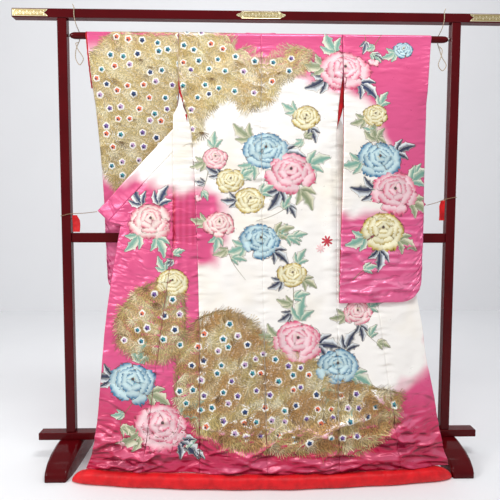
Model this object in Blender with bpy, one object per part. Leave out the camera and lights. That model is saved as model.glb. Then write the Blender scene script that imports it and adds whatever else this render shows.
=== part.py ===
"""Uchikake, a trailing wedding kimono, hung back-out on a lacquered kimono stand.

Metres, +Z up, +X to the viewer's right, +Y away from the viewer. The robe hangs over the stand's rod
with its back to the viewer. Its skirt slants forward to a padded hem roll that lies on the floor, its
collar ends are tied out to the posts, and the fronts are spread to each side. The left front comes out
through the armpit gap and lies over the left sleeve; the right front stays behind the right sleeve.

Each piece is built about the stand's own middle plane and is then placed by STAND_Y, so that the
origin lies under the middle of the whole footprint.
"""

import math
from collections import namedtuple

import bmesh
import bpy
import numpy as np

# ---------------------------------------------------------------- driving dimensions: stand
STAND_Y = 0.0375           # the stand's middle plane, from the origin
POST_PITCH = 1.525         # between the posts' centre lines
POST_WIDTH = 0.036
POST_DEPTH = 0.033
BEAM_LENGTH = 1.901
BEAM_HEIGHT = 0.034
BEAM_DEPTH = 0.036
BEAM_BOTTOM = 1.738
RAIL_TOP = 0.916
RAIL_HEIGHT = 0.038
RAIL_DEPTH = 0.021
ROD_AXIS = 1.677
ROD_RADIUS = 0.013
ROD_LENGTH = 1.468
PIN_RADIUS = 0.0055
PLANK_TOP = 0.111
PLANK_THICKNESS = 0.029
PLANK_LENGTH = 0.252
PLANK_DEPTH = 0.049
FOOT_SHOULDER = 0.86       # share of a foot's height where its sides turn in
PLATE_THICKNESS = 0.0012
PLATE_HALF_HEIGHT = 0.0132
PLATE_LENGTH = 0.134       # of an end plate
EDGE = 0.002               # chamfer on the lacquered bars
GAP = 0.0003               # between pieces that touch

# ---------------------------------------------------------------- driving dimensions: robe
CLOTH = 0.0016             # lined silk of the body
SLEEVE_CLOTH = 0.0014
COLLAR_CLOTH = 0.0026      # the collar is doubled
DRAPE_RADIUS = ROD_RADIUS + 0.0006 + CLOTH / 2
HEM_Z = 0.0495             # where the body silk meets the padded hem
HEM_FRONT = 0.2400         # how far forward the hem is brought at mid width
HEM_BOW = 0.115            # hem's plan curve: metres of setback per square metre
HEM_MIDDLE_X = 0.020
NECK_HALF = 0.060          # half the neck opening at the shoulder line
NECK_SPREAD = 0.018        # and how much it widens behind the rod
SHOULDER_HALF = 0.3165
ROLL_DEPTH = 0.058
ROLL_HEIGHT = 0.0475
ROLL_LEFT_TIP = -0.703
ROLL_RIGHT_TIP = 0.7190
ROLL_TAPER = 0.085
ROLL_AHEAD = 0.006         # the roll's middle lies this far in front of the hem's seam
PULL = 0.060               # how far the tied collar ends draw the cloth back to the stand
PULL_HALF_WIDTH = 0.62
PULL_Z = 1.00
PULL_SPREAD = 0.38
LEFT_TURN_Z = 1.37         # above these heights the fronts turn away behind the back
RIGHT_TURN_Z = 1.30
PLEAT_EDGE_X = -0.335      # the standing pleat of the left front
PLEAT_RADIUS = 0.0022
PLEAT_LIFT = 0.0090        # how far the pleat's top layer stands in front of the sleeve
# How far its under layer stands forward at the collar seam, by height.
PLEAT_UNDER_LIFT = ((1.250, 1.307), (0.0026, 0.0030))
SLEEVE_BOTTOM = 0.658
SLEEVE_CORNER = 0.078
SLEEVE_WIDTH = 0.31
SLEEVE_ROOM = 0.0075       # between a sleeve's two layers where it hangs flat
RIGHT_SLEEVE_LIFT = 0.0095 # the right sleeve's viewer side lies this far in front of the robe's face
LEFT_SLEEVE_Y = 0.0135     # the left sleeve's viewer side hangs here, just behind the rail
SLEEVE_SEWN = 0.0018       # and at its sewn edge, between the middles of the two walls
CUFF_BOTTOM = 1.455
CUFF_SHOW = 0.006          # how far the cuff lining shows
TWINE_DIAMETER = 0.0032
TIE_DIAMETER = 0.0026
RIBBON_WIDTH = 0.026
RIBBON_THICKNESS = 0.0012

# Clearances at seams, beyond the gap itself where walls of different slope meet.
SEAM = GAP / 2
FRONT_SEAM = 0.0004
OVERLAP_SEAM = 0.0012
COLLAR_SEAM = 0.0011
POINT_SEAM = 0.0006

# Rows and columns of the walls.
ARC_STEPS = 4
PLEAT_TOP_COLUMNS = 5
PLEAT_TURN_COLUMNS = 5
PLEAT_UNDER_COLUMNS = 4
FRONT_COLUMNS = PLEAT_TOP_COLUMNS + PLEAT_TURN_COLUMNS + PLEAT_UNDER_COLUMNS
OVERLAP_POINT_LEFT = 0.02  # how far down its seam an overlap's point begins
OVERLAP_POINT_RIGHT = 0.055
OVERLAP_SPLIT = 0.27       # share of an overlap's rows that runs beside the collar
OVERLAP_TURN = 0.33        # and where its free front edge begins
COLLAR_COLUMNS = 7
COLLAR_RUN_ROWS = 8
COLLAR_PART = 7            # row of a collar half where the over-collar ends
SLEEVE_ROWS = 15
SLEEVE_COLUMNS = 9
SLEEVE_TURN = 4

LACQUER = ("lacquer", (0.095, 0.004, 0.010), 0.22, 0.0)
GILT = ("gilt_plate", (0.78, 0.60, 0.28), 0.32, 1.0)
STEEL = ("steel_pin", (0.32, 0.31, 0.30), 0.35, 1.0)
SILK = ("silk_satin", (0.72, 0.10, 0.28), 0.38, 0.0)
HEM_RED = ("hem_silk", (0.72, 0.010, 0.018), 0.48, 0.0)
LINING = ("lining_silk", (0.45, 0.004, 0.008), 0.50, 0.0)
TWINE = ("twine", (0.55, 0.46, 0.34), 0.85, 0.0)
RIBBON = ("ribbon", (0.55, 0.008, 0.010), 0.55, 0.0)

Side = namedtuple("Side", "z x")
Fold = namedtuple("Fold", "x_from z_from x_to z_to width lift")
Crossing = namedtuple("Crossing", "z ax ay fx fy gx gy flat")
Band = namedtuple("Band", "gx gy gz cx cy cz")
Foot = namedtuple("Foot", "reach bottom top height")
Neck = namedtuple("Neck", "gx start cx cy cz")
Collar = namedtuple("Collar", "seam_x seam_z free_x free_z tip_x tip_z")
Loop = namedtuple("Loop", "sign strand_x neck_x neck_drop loop_x loop_half loop_drop")
Tie = namedtuple("Tie", "sign level rise")

# Seam and edge lines of the robe as seen from behind, from the rod down to the hem.
BACK_MIDDLE = [Side(1.70, 0.000), Side(0.90, 0.004), Side(0.05, 0.019)]
BACK_EDGE_LEFT = [Side(1.70, -0.3165), Side(1.51, -0.3155), Side(1.42, -0.298), Side(1.33, -0.272),
                  Side(1.20, -0.258), Side(0.95, -0.245), Side(0.60, -0.233), Side(0.05, -0.227)]
BACK_EDGE_RIGHT = [Side(1.70, 0.3165), Side(1.51, 0.3150), Side(1.43, 0.303), Side(1.33, 0.294),
                   Side(1.00, 0.290), Side(0.60, 0.286), Side(0.05, 0.282)]
OVERLAP_SEAM_LEFT = [Side(1.285, -0.283), Side(0.87, -0.335), Side(0.45, -0.388), Side(0.05, -0.436)]
OVERLAP_SEAM_RIGHT = [Side(1.285, 0.330), Side(0.87, 0.415), Side(0.45, 0.466), Side(0.05, 0.513)]
FRONT_EDGE_LEFT = [Side(0.950, -0.540), Side(0.88, -0.552), Side(0.73, -0.573), Side(0.56, -0.590),
                   Side(0.35, -0.602), Side(0.20, -0.614), Side(0.10, -0.630), Side(0.05, -0.650)]
FRONT_EDGE_RIGHT = [Side(0.950, 0.560), Side(0.70, 0.600), Side(0.56, 0.619), Side(0.43, 0.632),
                    Side(0.33, 0.652), Side(0.22, 0.669), Side(0.13, 0.684), Side(0.05, 0.706)]
SLEEVE_OUT_LEFT = [Side(1.69, -0.668), Side(1.57, -0.659), Side(1.45, -0.647), Side(1.33, -0.636),
                   Side(1.14, -0.624), Side(0.93, -0.617), Side(0.77, -0.612), Side(0.60, -0.605)]
SLEEVE_OUT_RIGHT = [Side(1.69, 0.667), Side(1.57, 0.655), Side(1.45, 0.646), Side(1.33, 0.6465),
                    Side(1.14, 0.6480), Side(0.95, 0.6440), Side(0.77, 0.6260), Side(0.60, 0.6100)]
SLEEVE_IN_LEFT = [Side(1.69, -0.3178), Side(1.47, -0.3182), Side(1.40, -0.3270), Side(1.20, -0.330),
                  Side(0.90, -0.320), Side(0.60, -0.310)]
SLEEVE_IN_RIGHT = [Side(1.69, 0.3178), Side(1.38, 0.3190), Side(1.20, 0.3160), Side(1.00, 0.3080),
                   Side(0.85, 0.3000), Side(0.60, 0.2900)]

# The largest folds: soft ridges in the face of the skirt, from one end to the other.
FOLDS = [
    Fold(0.380, 0.370, 0.560, 0.215, 0.022, 0.012),
    Fold(0.300, 0.300, 0.430, 0.160, 0.020, 0.007),
    Fold(0.560, 0.250, 0.655, 0.120, 0.020, 0.007),
    Fold(0.060, 0.330, 0.170, 0.150, 0.026, 0.008),
    Fold(-0.020, 0.300, -0.060, 0.110, 0.024, 0.007),
    Fold(0.250, 0.220, 0.262, 0.080, 0.020, 0.008),
    Fold(-0.190, 0.130, 0.060, 0.090, 0.018, 0.011),
    Fold(0.080, 0.120, 0.300, 0.085, 0.018, 0.010),
    Fold(-0.560, 0.110, -0.300, 0.085, 0.018, 0.009),
    Fold(-0.600, 0.200, -0.440, 0.140, 0.022, 0.007),
    Fold(0.360, 0.110, 0.620, 0.095, 0.018, 0.009),
    Fold(0.420, 0.190, 0.600, 0.165, 0.018, 0.006),
    Fold(-0.215, 0.720, -0.205, 0.420, 0.020, 0.004),
    Fold(0.268, 1.150, 0.262, 0.600, 0.022, 0.008),
]

# The left front where it turns through the armpit gap: seam edge A, pleat edge F, collar seam G.
CROSSING_LEFT = [
    Crossing(1.400, -0.2975, -0.0500, -0.3205, -0.0500, -0.3040, -0.0340, 0.10),
    Crossing(1.435, -0.3060, -0.0400, -0.3140, -0.0300, -0.3050, -0.0080, 0.55),
    Crossing(1.470, -0.3090, -0.0180, -0.3060, 0.0000, -0.2980, 0.0150, 1.0),
    Crossing(1.510, -0.3110, 0.0040, -0.2960, 0.0160, -0.2690, 0.0230, 1.0),
    Crossing(1.560, -0.3130, 0.0110, -0.2700, 0.0190, -0.2160, 0.0230, 1.0),
    Crossing(1.620, -0.3150, 0.0142, -0.2300, 0.0170, -0.1420, 0.0190, 1.0),
]
# The right front, which turns about its side seam and stays behind the sleeve.
CROSSING_RIGHT = [
    Crossing(1.330, 0.2990, -0.0330, 0.3180, -0.0170, 0.3320, 0.0030, 1.0),
    Crossing(1.375, 0.3010, -0.0240, 0.3070, -0.0050, 0.3160, 0.0150, 1.0),
    Crossing(1.420, 0.3050, -0.0120, 0.3030, 0.0060, 0.3000, 0.0240, 1.0),
    Crossing(1.465, 0.3090, 0.0000, 0.2980, 0.0160, 0.2800, 0.0270, 1.0),
    Crossing(1.510, 0.3110, 0.0080, 0.2920, 0.0190, 0.2560, 0.0260, 1.0),
    Crossing(1.560, 0.3130, 0.0120, 0.2700, 0.0190, 0.2140, 0.0240, 1.0),
    Crossing(1.620, 0.3150, 0.0142, 0.2300, 0.0170, 0.1420, 0.0190, 1.0),
]
# Collar from the middle of the neck to the armpit: seam edge G and free edge C.
COLLAR_LEFT = [
    Band(-0.2620, 0.0240, 1.5000, -0.1600, 0.0310, 1.4950),
    Band(-0.2950, 0.0200, 1.4600, -0.2150, 0.0320, 1.4380),
    Band(-0.3030, 0.0040, 1.4250, -0.2620, 0.0300, 1.3920),
    Band(-0.3040, -0.0190, 1.3900, -0.3000, 0.0160, 1.3660),
    Band(-0.2980, -0.0390, 1.3450, -0.3160, -0.0165, 1.3440),
]
COLLAR_RIGHT = [
    Band(0.2540, 0.0270, 1.5000, 0.1600, 0.0320, 1.4950),
    Band(0.2850, 0.0290, 1.4500, 0.2200, 0.0360, 1.4300),
    Band(0.3060, 0.0260, 1.4000, 0.2700, 0.0400, 1.3750),
    Band(0.3270, 0.0170, 1.3450, 0.3170, 0.0400, 1.3250),
    Band(0.3480, 0.0060, 1.2900, 0.3650, 0.0220, 1.2850),
]
# Straight stretch of each collar half in front of the armpit: seam top, free-edge top, tied tip.
COLLAR_RUN_LEFT = Collar(-0.283, 1.285, -0.327, 1.326, -0.636, 1.003)
COLLAR_RUN_RIGHT = Collar(0.330, 1.285, 0.374, 1.327, 0.664, 1.032)
# A foot from its middle to its front end, and mirrored behind: half widths and height.
FOOT_PROFILE = [
    Foot(0.040, 0.0505, 0.0385, 0.0817), Foot(0.105, 0.0500, 0.0380, 0.0700),
    Foot(0.150, 0.0470, 0.0365, 0.0550), Foot(0.184, 0.0425, 0.0345, 0.0370),
    Foot(0.197, 0.0395, 0.0330, 0.0240), Foot(0.200, 0.0377, 0.0325, 0.0120),
]
# Each twine: x of its strand, of the crossing under the rod and of its loop, and their heights.
TWINE_LEFT = Loop(-1, 0.7135, 0.7120, 0.044, 0.7006, 0.0135, 0.111)
TWINE_RIGHT = Loop(1, 0.7115, 0.7125, 0.062, 0.7164, 0.0160, 0.120)
# Each tie: its height where it meets the post, and its rise across the post's front.
TIE_LEFT = Tie(-1, 0.9915, -0.0085)
TIE_RIGHT = Tie(1, 1.0545, 0.0060)


# ---------------------------------------------------------------- scene and material helpers
def clear_scene():
    """Remove every object that the start-up scene holds."""
    for item in list(bpy.data.objects):
        bpy.data.objects.remove(item, do_unlink=True)


def finish_of(look):
    """Return the material for a (name, colour, roughness, metallic) look, made once."""
    name, colour, roughness, metallic = look
    material = bpy.data.materials.get(name)
    if material is None:
        material = bpy.data.materials.new(name)
        material.use_nodes = True
        shader = material.node_tree.nodes["Principled BSDF"]
        shader.inputs["Base Color"].default_value = (*colour, 1.0)
        shader.inputs["Roughness"].default_value = roughness
        shader.inputs["Metallic"].default_value = metallic
        material.diffuse_color = (*colour, 1.0)
    return material


def add_object(name, mesh, look, smooth=True):
    """Link a mesh as a named object in the stand's place, with its finish."""
    item = bpy.data.objects.new(name, mesh)
    mesh.materials.append(finish_of(look))
    bpy.context.scene.collection.objects.link(item)
    item.location = (0.0, STAND_Y, 0.0)
    if smooth:
        mesh.shade_smooth()
        mesh.set_sharp_from_angle(angle=math.radians(50))
    return item


def closed_mesh(name, points, quads):
    """Make a mesh from points and four-sided faces, and turn it so that its volume is positive."""
    mesh = bpy.data.meshes.new(name)
    mesh.from_pydata([tuple(map(float, p)) for p in points], [], quads)
    work = bmesh.new()
    work.from_mesh(mesh)
    if work.calc_volume(signed=True) < 0:
        bmesh.ops.reverse_faces(work, faces=work.faces)
    work.to_mesh(mesh)
    work.free()
    return mesh


# ---------------------------------------------------------------- curve and grid helpers
def line_through(rows, key, value, at):
    """Read a smooth curve through a table's rows: Hermite cubics with central-difference slopes."""
    ordered = sorted(rows, key=lambda row: getattr(row, key))
    knots = np.array([getattr(row, key) for row in ordered])
    heights = np.array([getattr(row, value) for row in ordered])
    slopes = np.gradient(heights, knots)
    at = np.clip(np.asarray(at, float), knots[0], knots[-1])
    cell = np.clip(np.searchsorted(knots, at) - 1, 0, len(knots) - 2)
    span = knots[cell + 1] - knots[cell]
    t = (at - knots[cell]) / span
    return (heights[cell] * (2 * t ** 3 - 3 * t ** 2 + 1)
            + slopes[cell] * span * (t ** 3 - 2 * t ** 2 + t)
            + heights[cell + 1] * (3 * t ** 2 - 2 * t ** 3)
            + slopes[cell + 1] * span * (t ** 3 - t ** 2))


def ease(edge0, edge1, value):
    """Smooth step from 0 at edge0 to 1 at edge1."""
    t = np.clip((value - edge0) / (edge1 - edge0), 0.0, 1.0)
    return t * t * (3 - 2 * t)


def route_through(knots, count):
    """Read count points, evenly spaced, from a smooth curve through the route's own knots."""
    knots = np.array(knots, float)
    steps = np.concatenate([[0.0], np.cumsum(np.linalg.norm(np.diff(knots, axis=0), axis=1))])
    slopes = np.gradient(knots, steps, axis=0)
    fine = np.linspace(0.0, steps[-1], count * 12)
    cell = np.clip(np.searchsorted(steps, fine) - 1, 0, len(steps) - 2)
    span = (steps[cell + 1] - steps[cell])[:, None]
    t = ((fine - steps[cell]) / span[:, 0])[:, None]
    curve = (knots[cell] * (2 * t ** 3 - 3 * t ** 2 + 1) + slopes[cell] * span * (t ** 3 - 2 * t ** 2 + t)
             + knots[cell + 1] * (3 * t ** 2 - 2 * t ** 3) + slopes[cell + 1] * span * (t ** 3 - t ** 2))
    run = np.concatenate([[0.0], np.cumsum(np.linalg.norm(np.diff(curve, axis=0), axis=1))])
    even = np.linspace(0.0, run[-1], count)
    return np.stack([np.interp(even, run, curve[:, axis]) for axis in range(3)], axis=1)


def grid_normals(grid):
    """Unit normals of a grid of points: the cross product of its two central differences."""
    down = np.gradient(grid, axis=0)
    across = np.gradient(grid, axis=1)
    normal = np.cross(down, across)
    return normal / np.maximum(np.linalg.norm(normal, axis=2, keepdims=True), 1e-12)


def ring_normals(grid):
    """Unit normals of a grid whose rows close on themselves."""
    down = (np.roll(grid, -1, axis=0) - np.roll(grid, 1, axis=0)) / 2
    across = np.gradient(grid, axis=1)
    normal = np.cross(down, across)
    return normal / np.maximum(np.linalg.norm(normal, axis=2, keepdims=True), 1e-12)


def sheet_wall(name, grid, thickness, look):
    """Give a grid of mid-surface points a wall, closed all round its four edges."""
    rows, columns = grid.shape[:2]
    offset = grid_normals(grid) * (thickness / 2)
    points = np.concatenate([(grid + offset).reshape(-1, 3), (grid - offset).reshape(-1, 3)])
    half = rows * columns
    index = np.arange(half).reshape(rows, columns)
    quads = []
    for r in range(rows - 1):
        for c in range(columns - 1):
            a, b, d, e = index[r, c], index[r, c + 1], index[r + 1, c + 1], index[r + 1, c]
            quads.append((a, b, d, e))
            quads.append((e + half, d + half, b + half, a + half))
    rim = list(index[0, :]) + list(index[1:, -1]) + list(index[-1, -2::-1]) + list(index[-2:0:-1, 0])
    for a, b in zip(rim, rim[1:] + rim[:1]):
        quads.append((b, a, a + half, b + half))
    return add_object(name, closed_mesh(name, points, quads), look)


def tube_wall(name, grid, thickness, look):
    """Give a grid whose rows close into a loop a wall, open at both ends of its columns."""
    rows, columns = grid.shape[:2]
    offset = ring_normals(grid) * (thickness / 2)
    points = np.concatenate([(grid + offset).reshape(-1, 3), (grid - offset).reshape(-1, 3)])
    half = rows * columns
    index = np.arange(half).reshape(rows, columns)
    quads = []
    for r in range(rows):
        n = (r + 1) % rows
        for c in range(columns - 1):
            a, b, d, e = index[r, c], index[r, c + 1], index[n, c + 1], index[n, c]
            quads.append((a, b, d, e))
            quads.append((e + half, d + half, b + half, a + half))
        quads.append((index[r, 0], index[n, 0], index[n, 0] + half, index[r, 0] + half))
        quads.append((index[n, -1], index[r, -1], index[r, -1] + half, index[n, -1] + half))
    return add_object(name, closed_mesh(name, points, quads), look)


def solid_loft(name, sections, look, smooth=False):
    """Skin a list of closed sections (stations, points, 3) into one solid with flat ends."""
    stations, count = sections.shape[:2]
    index = np.arange(stations * count).reshape(stations, count)
    faces = []
    for s in range(stations - 1):
        for p in range(count):
            q = (p + 1) % count
            faces.append((index[s, p], index[s, q], index[s + 1, q], index[s + 1, p]))
    faces.append(tuple(index[0, ::-1]))
    faces.append(tuple(index[-1, :]))
    return add_object(name, closed_mesh(name, sections.reshape(-1, 3), faces), look, smooth)


def bar(name, low, high, look, edge=EDGE):
    """A straight bar between two corners, with its long edges eased."""
    mesh = bpy.data.meshes.new(name)
    work = bmesh.new()
    bmesh.ops.create_cube(work, size=1.0)
    low, high = np.array(low), np.array(high)
    for corner in work.verts:
        corner.co = low + (np.array(corner.co) + 0.5) * (high - low)
    if edge > 0:
        bmesh.ops.bevel(work, geom=work.edges[:], offset=edge, segments=1, affect="EDGES")
    work.to_mesh(mesh)
    work.free()
    return add_object(name, mesh, look, smooth=False)


def cord(name, knots, diameter, count, look):
    """A bevelled poly curve with filled caps, made a mesh: one free cord."""
    curve = bpy.data.curves.new(name, "CURVE")
    curve.dimensions = "3D"
    curve.bevel_depth = diameter / 2
    curve.bevel_resolution = 2
    curve.use_fill_caps = True
    route = route_through(knots, count)
    spline = curve.splines.new("POLY")
    spline.points.add(len(route) - 1)
    for point, place in zip(spline.points, route):
        point.co = (*place, 1.0)
    item = bpy.data.objects.new(name, curve)
    curve.materials.append(finish_of(look))
    bpy.context.scene.collection.objects.link(item)
    item.location = (0.0, STAND_Y, 0.0)
    return item


# ---------------------------------------------------------------- the face of the robe
def hem_setback(x):
    """Plan line of the hem: furthest forward at mid width, set back towards both corners."""
    return -HEM_FRONT + HEM_BOW * (x - HEM_MIDDLE_X) ** 2


def fold_lift(x, z):
    """Sum of the large folds: a bell across each fold, tapered to nothing at its two ends."""
    total = np.zeros(np.broadcast(x, z).shape)
    for fold in FOLDS:
        run = np.array([fold.x_to - fold.x_from, fold.z_to - fold.z_from])
        length = np.linalg.norm(run)
        along = ((x - fold.x_from) * run[0] + (z - fold.z_from) * run[1]) / length ** 2
        away = ((x - fold.x_from) * run[1] - (z - fold.z_from) * run[0]) / length
        taper = np.sin(np.pi * np.clip((along + 0.15) / 1.3, 0.0, 1.0)) ** 2
        total = total + fold.lift * taper * np.exp(-(away / fold.width) ** 2)
    return total


def face_y(x, z):
    """Depth of the robe's face: a straight slant from the rod to the hem, drawn back by the ties."""
    fallen = np.clip((ROD_AXIS - z) / (ROD_AXIS - HEM_Z), 0.0, 1.0)
    eased = np.maximum(fallen - 0.02 * (1 - np.exp(-fallen / 0.02)), 0.0) / 0.98
    slant = -DRAPE_RADIUS + (hem_setback(x) + DRAPE_RADIUS) * eased
    side = np.clip(np.abs(x) / PULL_HALF_WIDTH, 0.0, 1.1) ** 2
    pull = PULL * side * np.exp(-((z - PULL_Z) / PULL_SPREAD) ** 2) * ease(0.0, 0.25, fallen)
    ripple = 0.0035 * np.sin(x * 21.0 + 0.7) * ease(0.35, 0.9, fallen)
    return slant + pull + ripple - fold_lift(x, z) * ease(0.0, 0.2, fallen)


def over_rod(drop, side):
    """Point at a drop below the shoulder line: round the rod, then down; side -1 front, +1 rear."""
    quarter = DRAPE_RADIUS * math.pi / 2
    angle = np.clip(drop, 0, quarter) / DRAPE_RADIUS
    y = side * DRAPE_RADIUS * np.sin(angle)
    z = ROD_AXIS + DRAPE_RADIUS * np.cos(angle) - np.maximum(drop - quarter, 0)
    return y, z


def rows_down(start, end, count, crowd):
    """Row heights from start down to end; crowd > 1 brings them closer together near the end."""
    t = np.linspace(0.0, 1.0, count)
    return start + (end - start) * (1 - (1 - t) ** crowd)


def on_face(x, z, lift=0.0):
    """Points on the robe's face at x, z, lifted towards the viewer."""
    return np.stack([x, face_y(x, z) - lift, z + np.zeros_like(x)], axis=-1)


# ---------------------------------------------------------------- body pieces
BODY_ROWS = rows_down(ROD_AXIS, HEM_Z, 24, 1.35)


def back_panel(name, inner, outer, columns):
    """One back width, from the shoulder line on the rod down to the hem."""
    quarter = DRAPE_RADIUS * math.pi / 2
    rows = []
    share = np.linspace(0.0, 1.0, columns)
    for step in range(ARC_STEPS):
        drop = quarter * step / ARC_STEPS + GAP
        x0 = line_through(inner, "z", "x", 1.69)
        x1 = line_through(outer, "z", "x", 1.69)
        x = x0 + (x1 - x0) * share
        y, z = over_rod(drop, -1)
        rows.append(np.stack([x, np.full(columns, y), np.full(columns, z)], axis=-1))
    for z in BODY_ROWS:
        x0 = line_through(inner, "z", "x", z)
        x1 = line_through(outer, "z", "x", z)
        rows.append(on_face(x0 + (x1 - x0) * share, np.full(columns, z)))
    grid = np.array(rows)
    return sheet_wall(name, trimmed(grid), CLOTH, SILK)


def trimmed(grid, seam=SEAM):
    """Draw a grid's first and last columns in by the seam clearance."""
    grid = grid.copy()
    for edge, inside in ((0, 1), (-1, -2)):
        step = grid[:, inside] - grid[:, edge]
        grid[:, edge] += step / np.linalg.norm(step, axis=1, keepdims=True) * seam
    return grid


def pleated_row(seam_edge, pleat_edge, collar_seam, flat, bulge=0.0):
    """One row of the left front: out to the pleat's edge, a half-round turn, and back to the seam."""
    seam_edge, pleat_edge, collar_seam = (np.array(p, float) for p in (seam_edge, pleat_edge, collar_seam))
    share = np.linspace(0, 1, PLEAT_TOP_COLUMNS + 1)[:-1]
    top = seam_edge + np.outer(share, pleat_edge - seam_edge)
    top[:, 1] -= bulge * (1 - (1 - share) ** 3 - share)
    under = pleat_edge + np.outer(np.linspace(0, 1, PLEAT_UNDER_COLUMNS + 1)[1:], collar_seam - pleat_edge)
    under[:, 1] += 2 * PLEAT_RADIUS * np.linspace(1, 0, PLEAT_UNDER_COLUMNS)
    angle = np.linspace(-90, 90, PLEAT_TURN_COLUMNS)
    turn = np.array([(PLEAT_RADIUS * (1 - math.cos(math.radians(a))),
                      PLEAT_RADIUS * (1 + math.sin(math.radians(a))), 0.0) for a in angle])
    folded = np.concatenate([top, pleat_edge + turn, under])
    even = np.linspace(0, 1, len(folded))[:, None]
    bent = (1 - even) ** 2 * seam_edge + 2 * even * (1 - even) * pleat_edge + even ** 2 * collar_seam
    return (1 - flat) * folded + flat * bent


def rear_rows(crossing, sign):
    """Rows of a front above the armpit, up behind the back panel and over the rod."""
    rows = [pleated_row((r.ax, r.ay, r.z), (r.fx, r.fy, r.z), (r.gx, r.gy, r.z), r.flat) for r in crossing]
    share = np.linspace(0.0, 1.0, FRONT_COLUMNS)
    quarter = DRAPE_RADIUS * math.pi / 2
    for step in range(ARC_STEPS, -1, -1):
        drop = quarter * step / ARC_STEPS + GAP
        neck = NECK_HALF + NECK_SPREAD * step / ARC_STEPS
        x = sign * (SHOULDER_HALF + (neck - SHOULDER_HALF) * share)
        y, z = over_rod(drop, 1)
        rows.append(np.stack([x, np.full(FRONT_COLUMNS, y), np.full(FRONT_COLUMNS, z)], axis=-1))
    return rows


def front_left():
    """Left front: side seam to overlap seam, with the standing pleat, then through the armpit gap."""
    rows = []
    for z in BODY_ROWS[::-1]:
        if z > LEFT_TURN_Z:
            continue
        a_x = float(line_through(BACK_EDGE_LEFT, "z", "x", z))
        g_x = float(line_through(OVERLAP_SEAM_LEFT, "z", "x", z))
        depth = g_x - PLEAT_EDGE_X
        flat = 1.0 - float(ease(-0.006, 0.012, depth))
        f_x = PLEAT_EDGE_X if flat < 1.0 else (a_x + g_x) / 2
        lift = PLEAT_LIFT * (1 - flat)
        a = on_face(np.array([a_x]), np.array([z]))[0]
        f = on_face(np.array([f_x]), np.array([z]), lift)[0]
        under = float(np.interp(z, *PLEAT_UNDER_LIFT))
        g = on_face(np.array([g_x]), np.array([z]), under * (1 - flat))[0]
        row = pleated_row(a, f, g, flat, lift)
        if flat > 0:
            share = np.linspace(0, 1, len(row))
            plain = on_face(a_x + (g_x - a_x) * share, np.full(len(row), z))
            folded = pleated_row(a, f, g, 0.0, lift)
            row = (1 - flat) * folded + flat * plain
        rows.append(row)
    rows += rear_rows(CROSSING_LEFT, -1)
    return sheet_wall("front_left", trimmed(np.array(rows), FRONT_SEAM), CLOTH, SILK)


def front_right():
    """Right front: side seam to overlap seam, turned about its side seam behind the sleeve."""
    rows = []
    share = np.linspace(0, 1, FRONT_COLUMNS)
    for z in BODY_ROWS[::-1]:
        if z > RIGHT_TURN_Z:
            continue
        a_x = float(line_through(BACK_EDGE_RIGHT, "z", "x", z))
        g_x = float(line_through(OVERLAP_SEAM_RIGHT, "z", "x", z))
        row = on_face(a_x + (g_x - a_x) * share, np.full(FRONT_COLUMNS, z))
        row[:, 1] += tuck_behind(row[:, 0], z)
        rows.append(row)
    rows += rear_rows(CROSSING_RIGHT, 1)
    return sheet_wall("front_right", trimmed(np.array(rows)), CLOTH, SILK)


def tuck_behind(x, z):
    """How far the right front lies behind the face, to leave room for the hanging sleeve."""
    beside = ease(0.285, 0.335, x)
    return (0.0065 + 0.030 * ease(0.95, 1.33, z)) * beside * ease(0.60, 0.72, z)


def collar_run(side, along, across):
    """Point of a collar half's straight stretch: along from armpit to tip, across from seam to edge."""
    run = np.array([side.tip_x - side.free_x, side.tip_z - side.free_z])
    seam = np.array([side.seam_x, side.seam_z])
    free = np.array([side.free_x, side.free_z])
    return seam + (free - seam) * across + run * along


def overlap_panel(name, seam, edge, side, columns):
    """An overlap (okumi): a long wedge from its point at the collar, between seam and front edge."""
    rows = []
    share = np.linspace(0.0, 1.0, columns)
    first = OVERLAP_POINT_LEFT if side.seam_x < 0 else OVERLAP_POINT_RIGHT
    levels = np.concatenate([np.linspace(first, OVERLAP_SPLIT, 8)[:-1],
                             np.linspace(OVERLAP_SPLIT, OVERLAP_TURN, 3)[:-1],
                             OVERLAP_TURN + (1 - OVERLAP_TURN) * (1 - (1 - np.linspace(0, 1, 15)) ** 1.3)])
    corner = collar_run(side, 1.0, 0.0)
    turn = np.array([edge[0].x, edge[0].z])
    for level in levels:
        z_seam = side.seam_z + (HEM_Z - side.seam_z) * level
        x_seam = float(line_through(seam, "z", "x", z_seam))
        if level < OVERLAP_SPLIT:
            x_edge, z_edge = collar_run(side, level / OVERLAP_SPLIT, 0.0)
        elif level < OVERLAP_TURN:
            part = (level - OVERLAP_SPLIT) / (OVERLAP_TURN - OVERLAP_SPLIT)
            x_edge, z_edge = corner + (turn - corner) * part
        else:
            z_edge = turn[1] + (HEM_Z - turn[1]) * (level - OVERLAP_TURN) / (1 - OVERLAP_TURN)
            x_edge = float(line_through(edge, "z", "x", z_edge))
        x = x_seam + (x_edge - x_seam) * share
        z = z_seam + (z_edge - z_seam) * share
        row = on_face(x, z)
        if side.seam_x > 0:
            row[:, 1] += tuck_behind(row[:, 0], z)
        rows.append(row)
    grid = np.array(rows)
    return sheet_wall(name, seated(trimmed(grid, OVERLAP_SEAM)), CLOTH, SILK)


def parted(grid, row, seam=FRONT_SEAM):
    """Part a grid at one of its rows: two grids, each drawn back from that row by the seam clearance."""
    upper, lower = grid[:row + 1].copy(), grid[row:].copy()
    for half, edge, inside in ((upper, -1, -2), (lower, 0, 1)):
        step = half[inside] - half[edge]
        half[edge] += step / np.linalg.norm(step, axis=1, keepdims=True) * seam
    return upper, lower


def seated(grid, seam=POINT_SEAM):
    """Draw a grid's first and last rows in by a seam clearance."""
    return trimmed(grid.transpose(1, 0, 2), seam).transpose(1, 0, 2)


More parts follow.
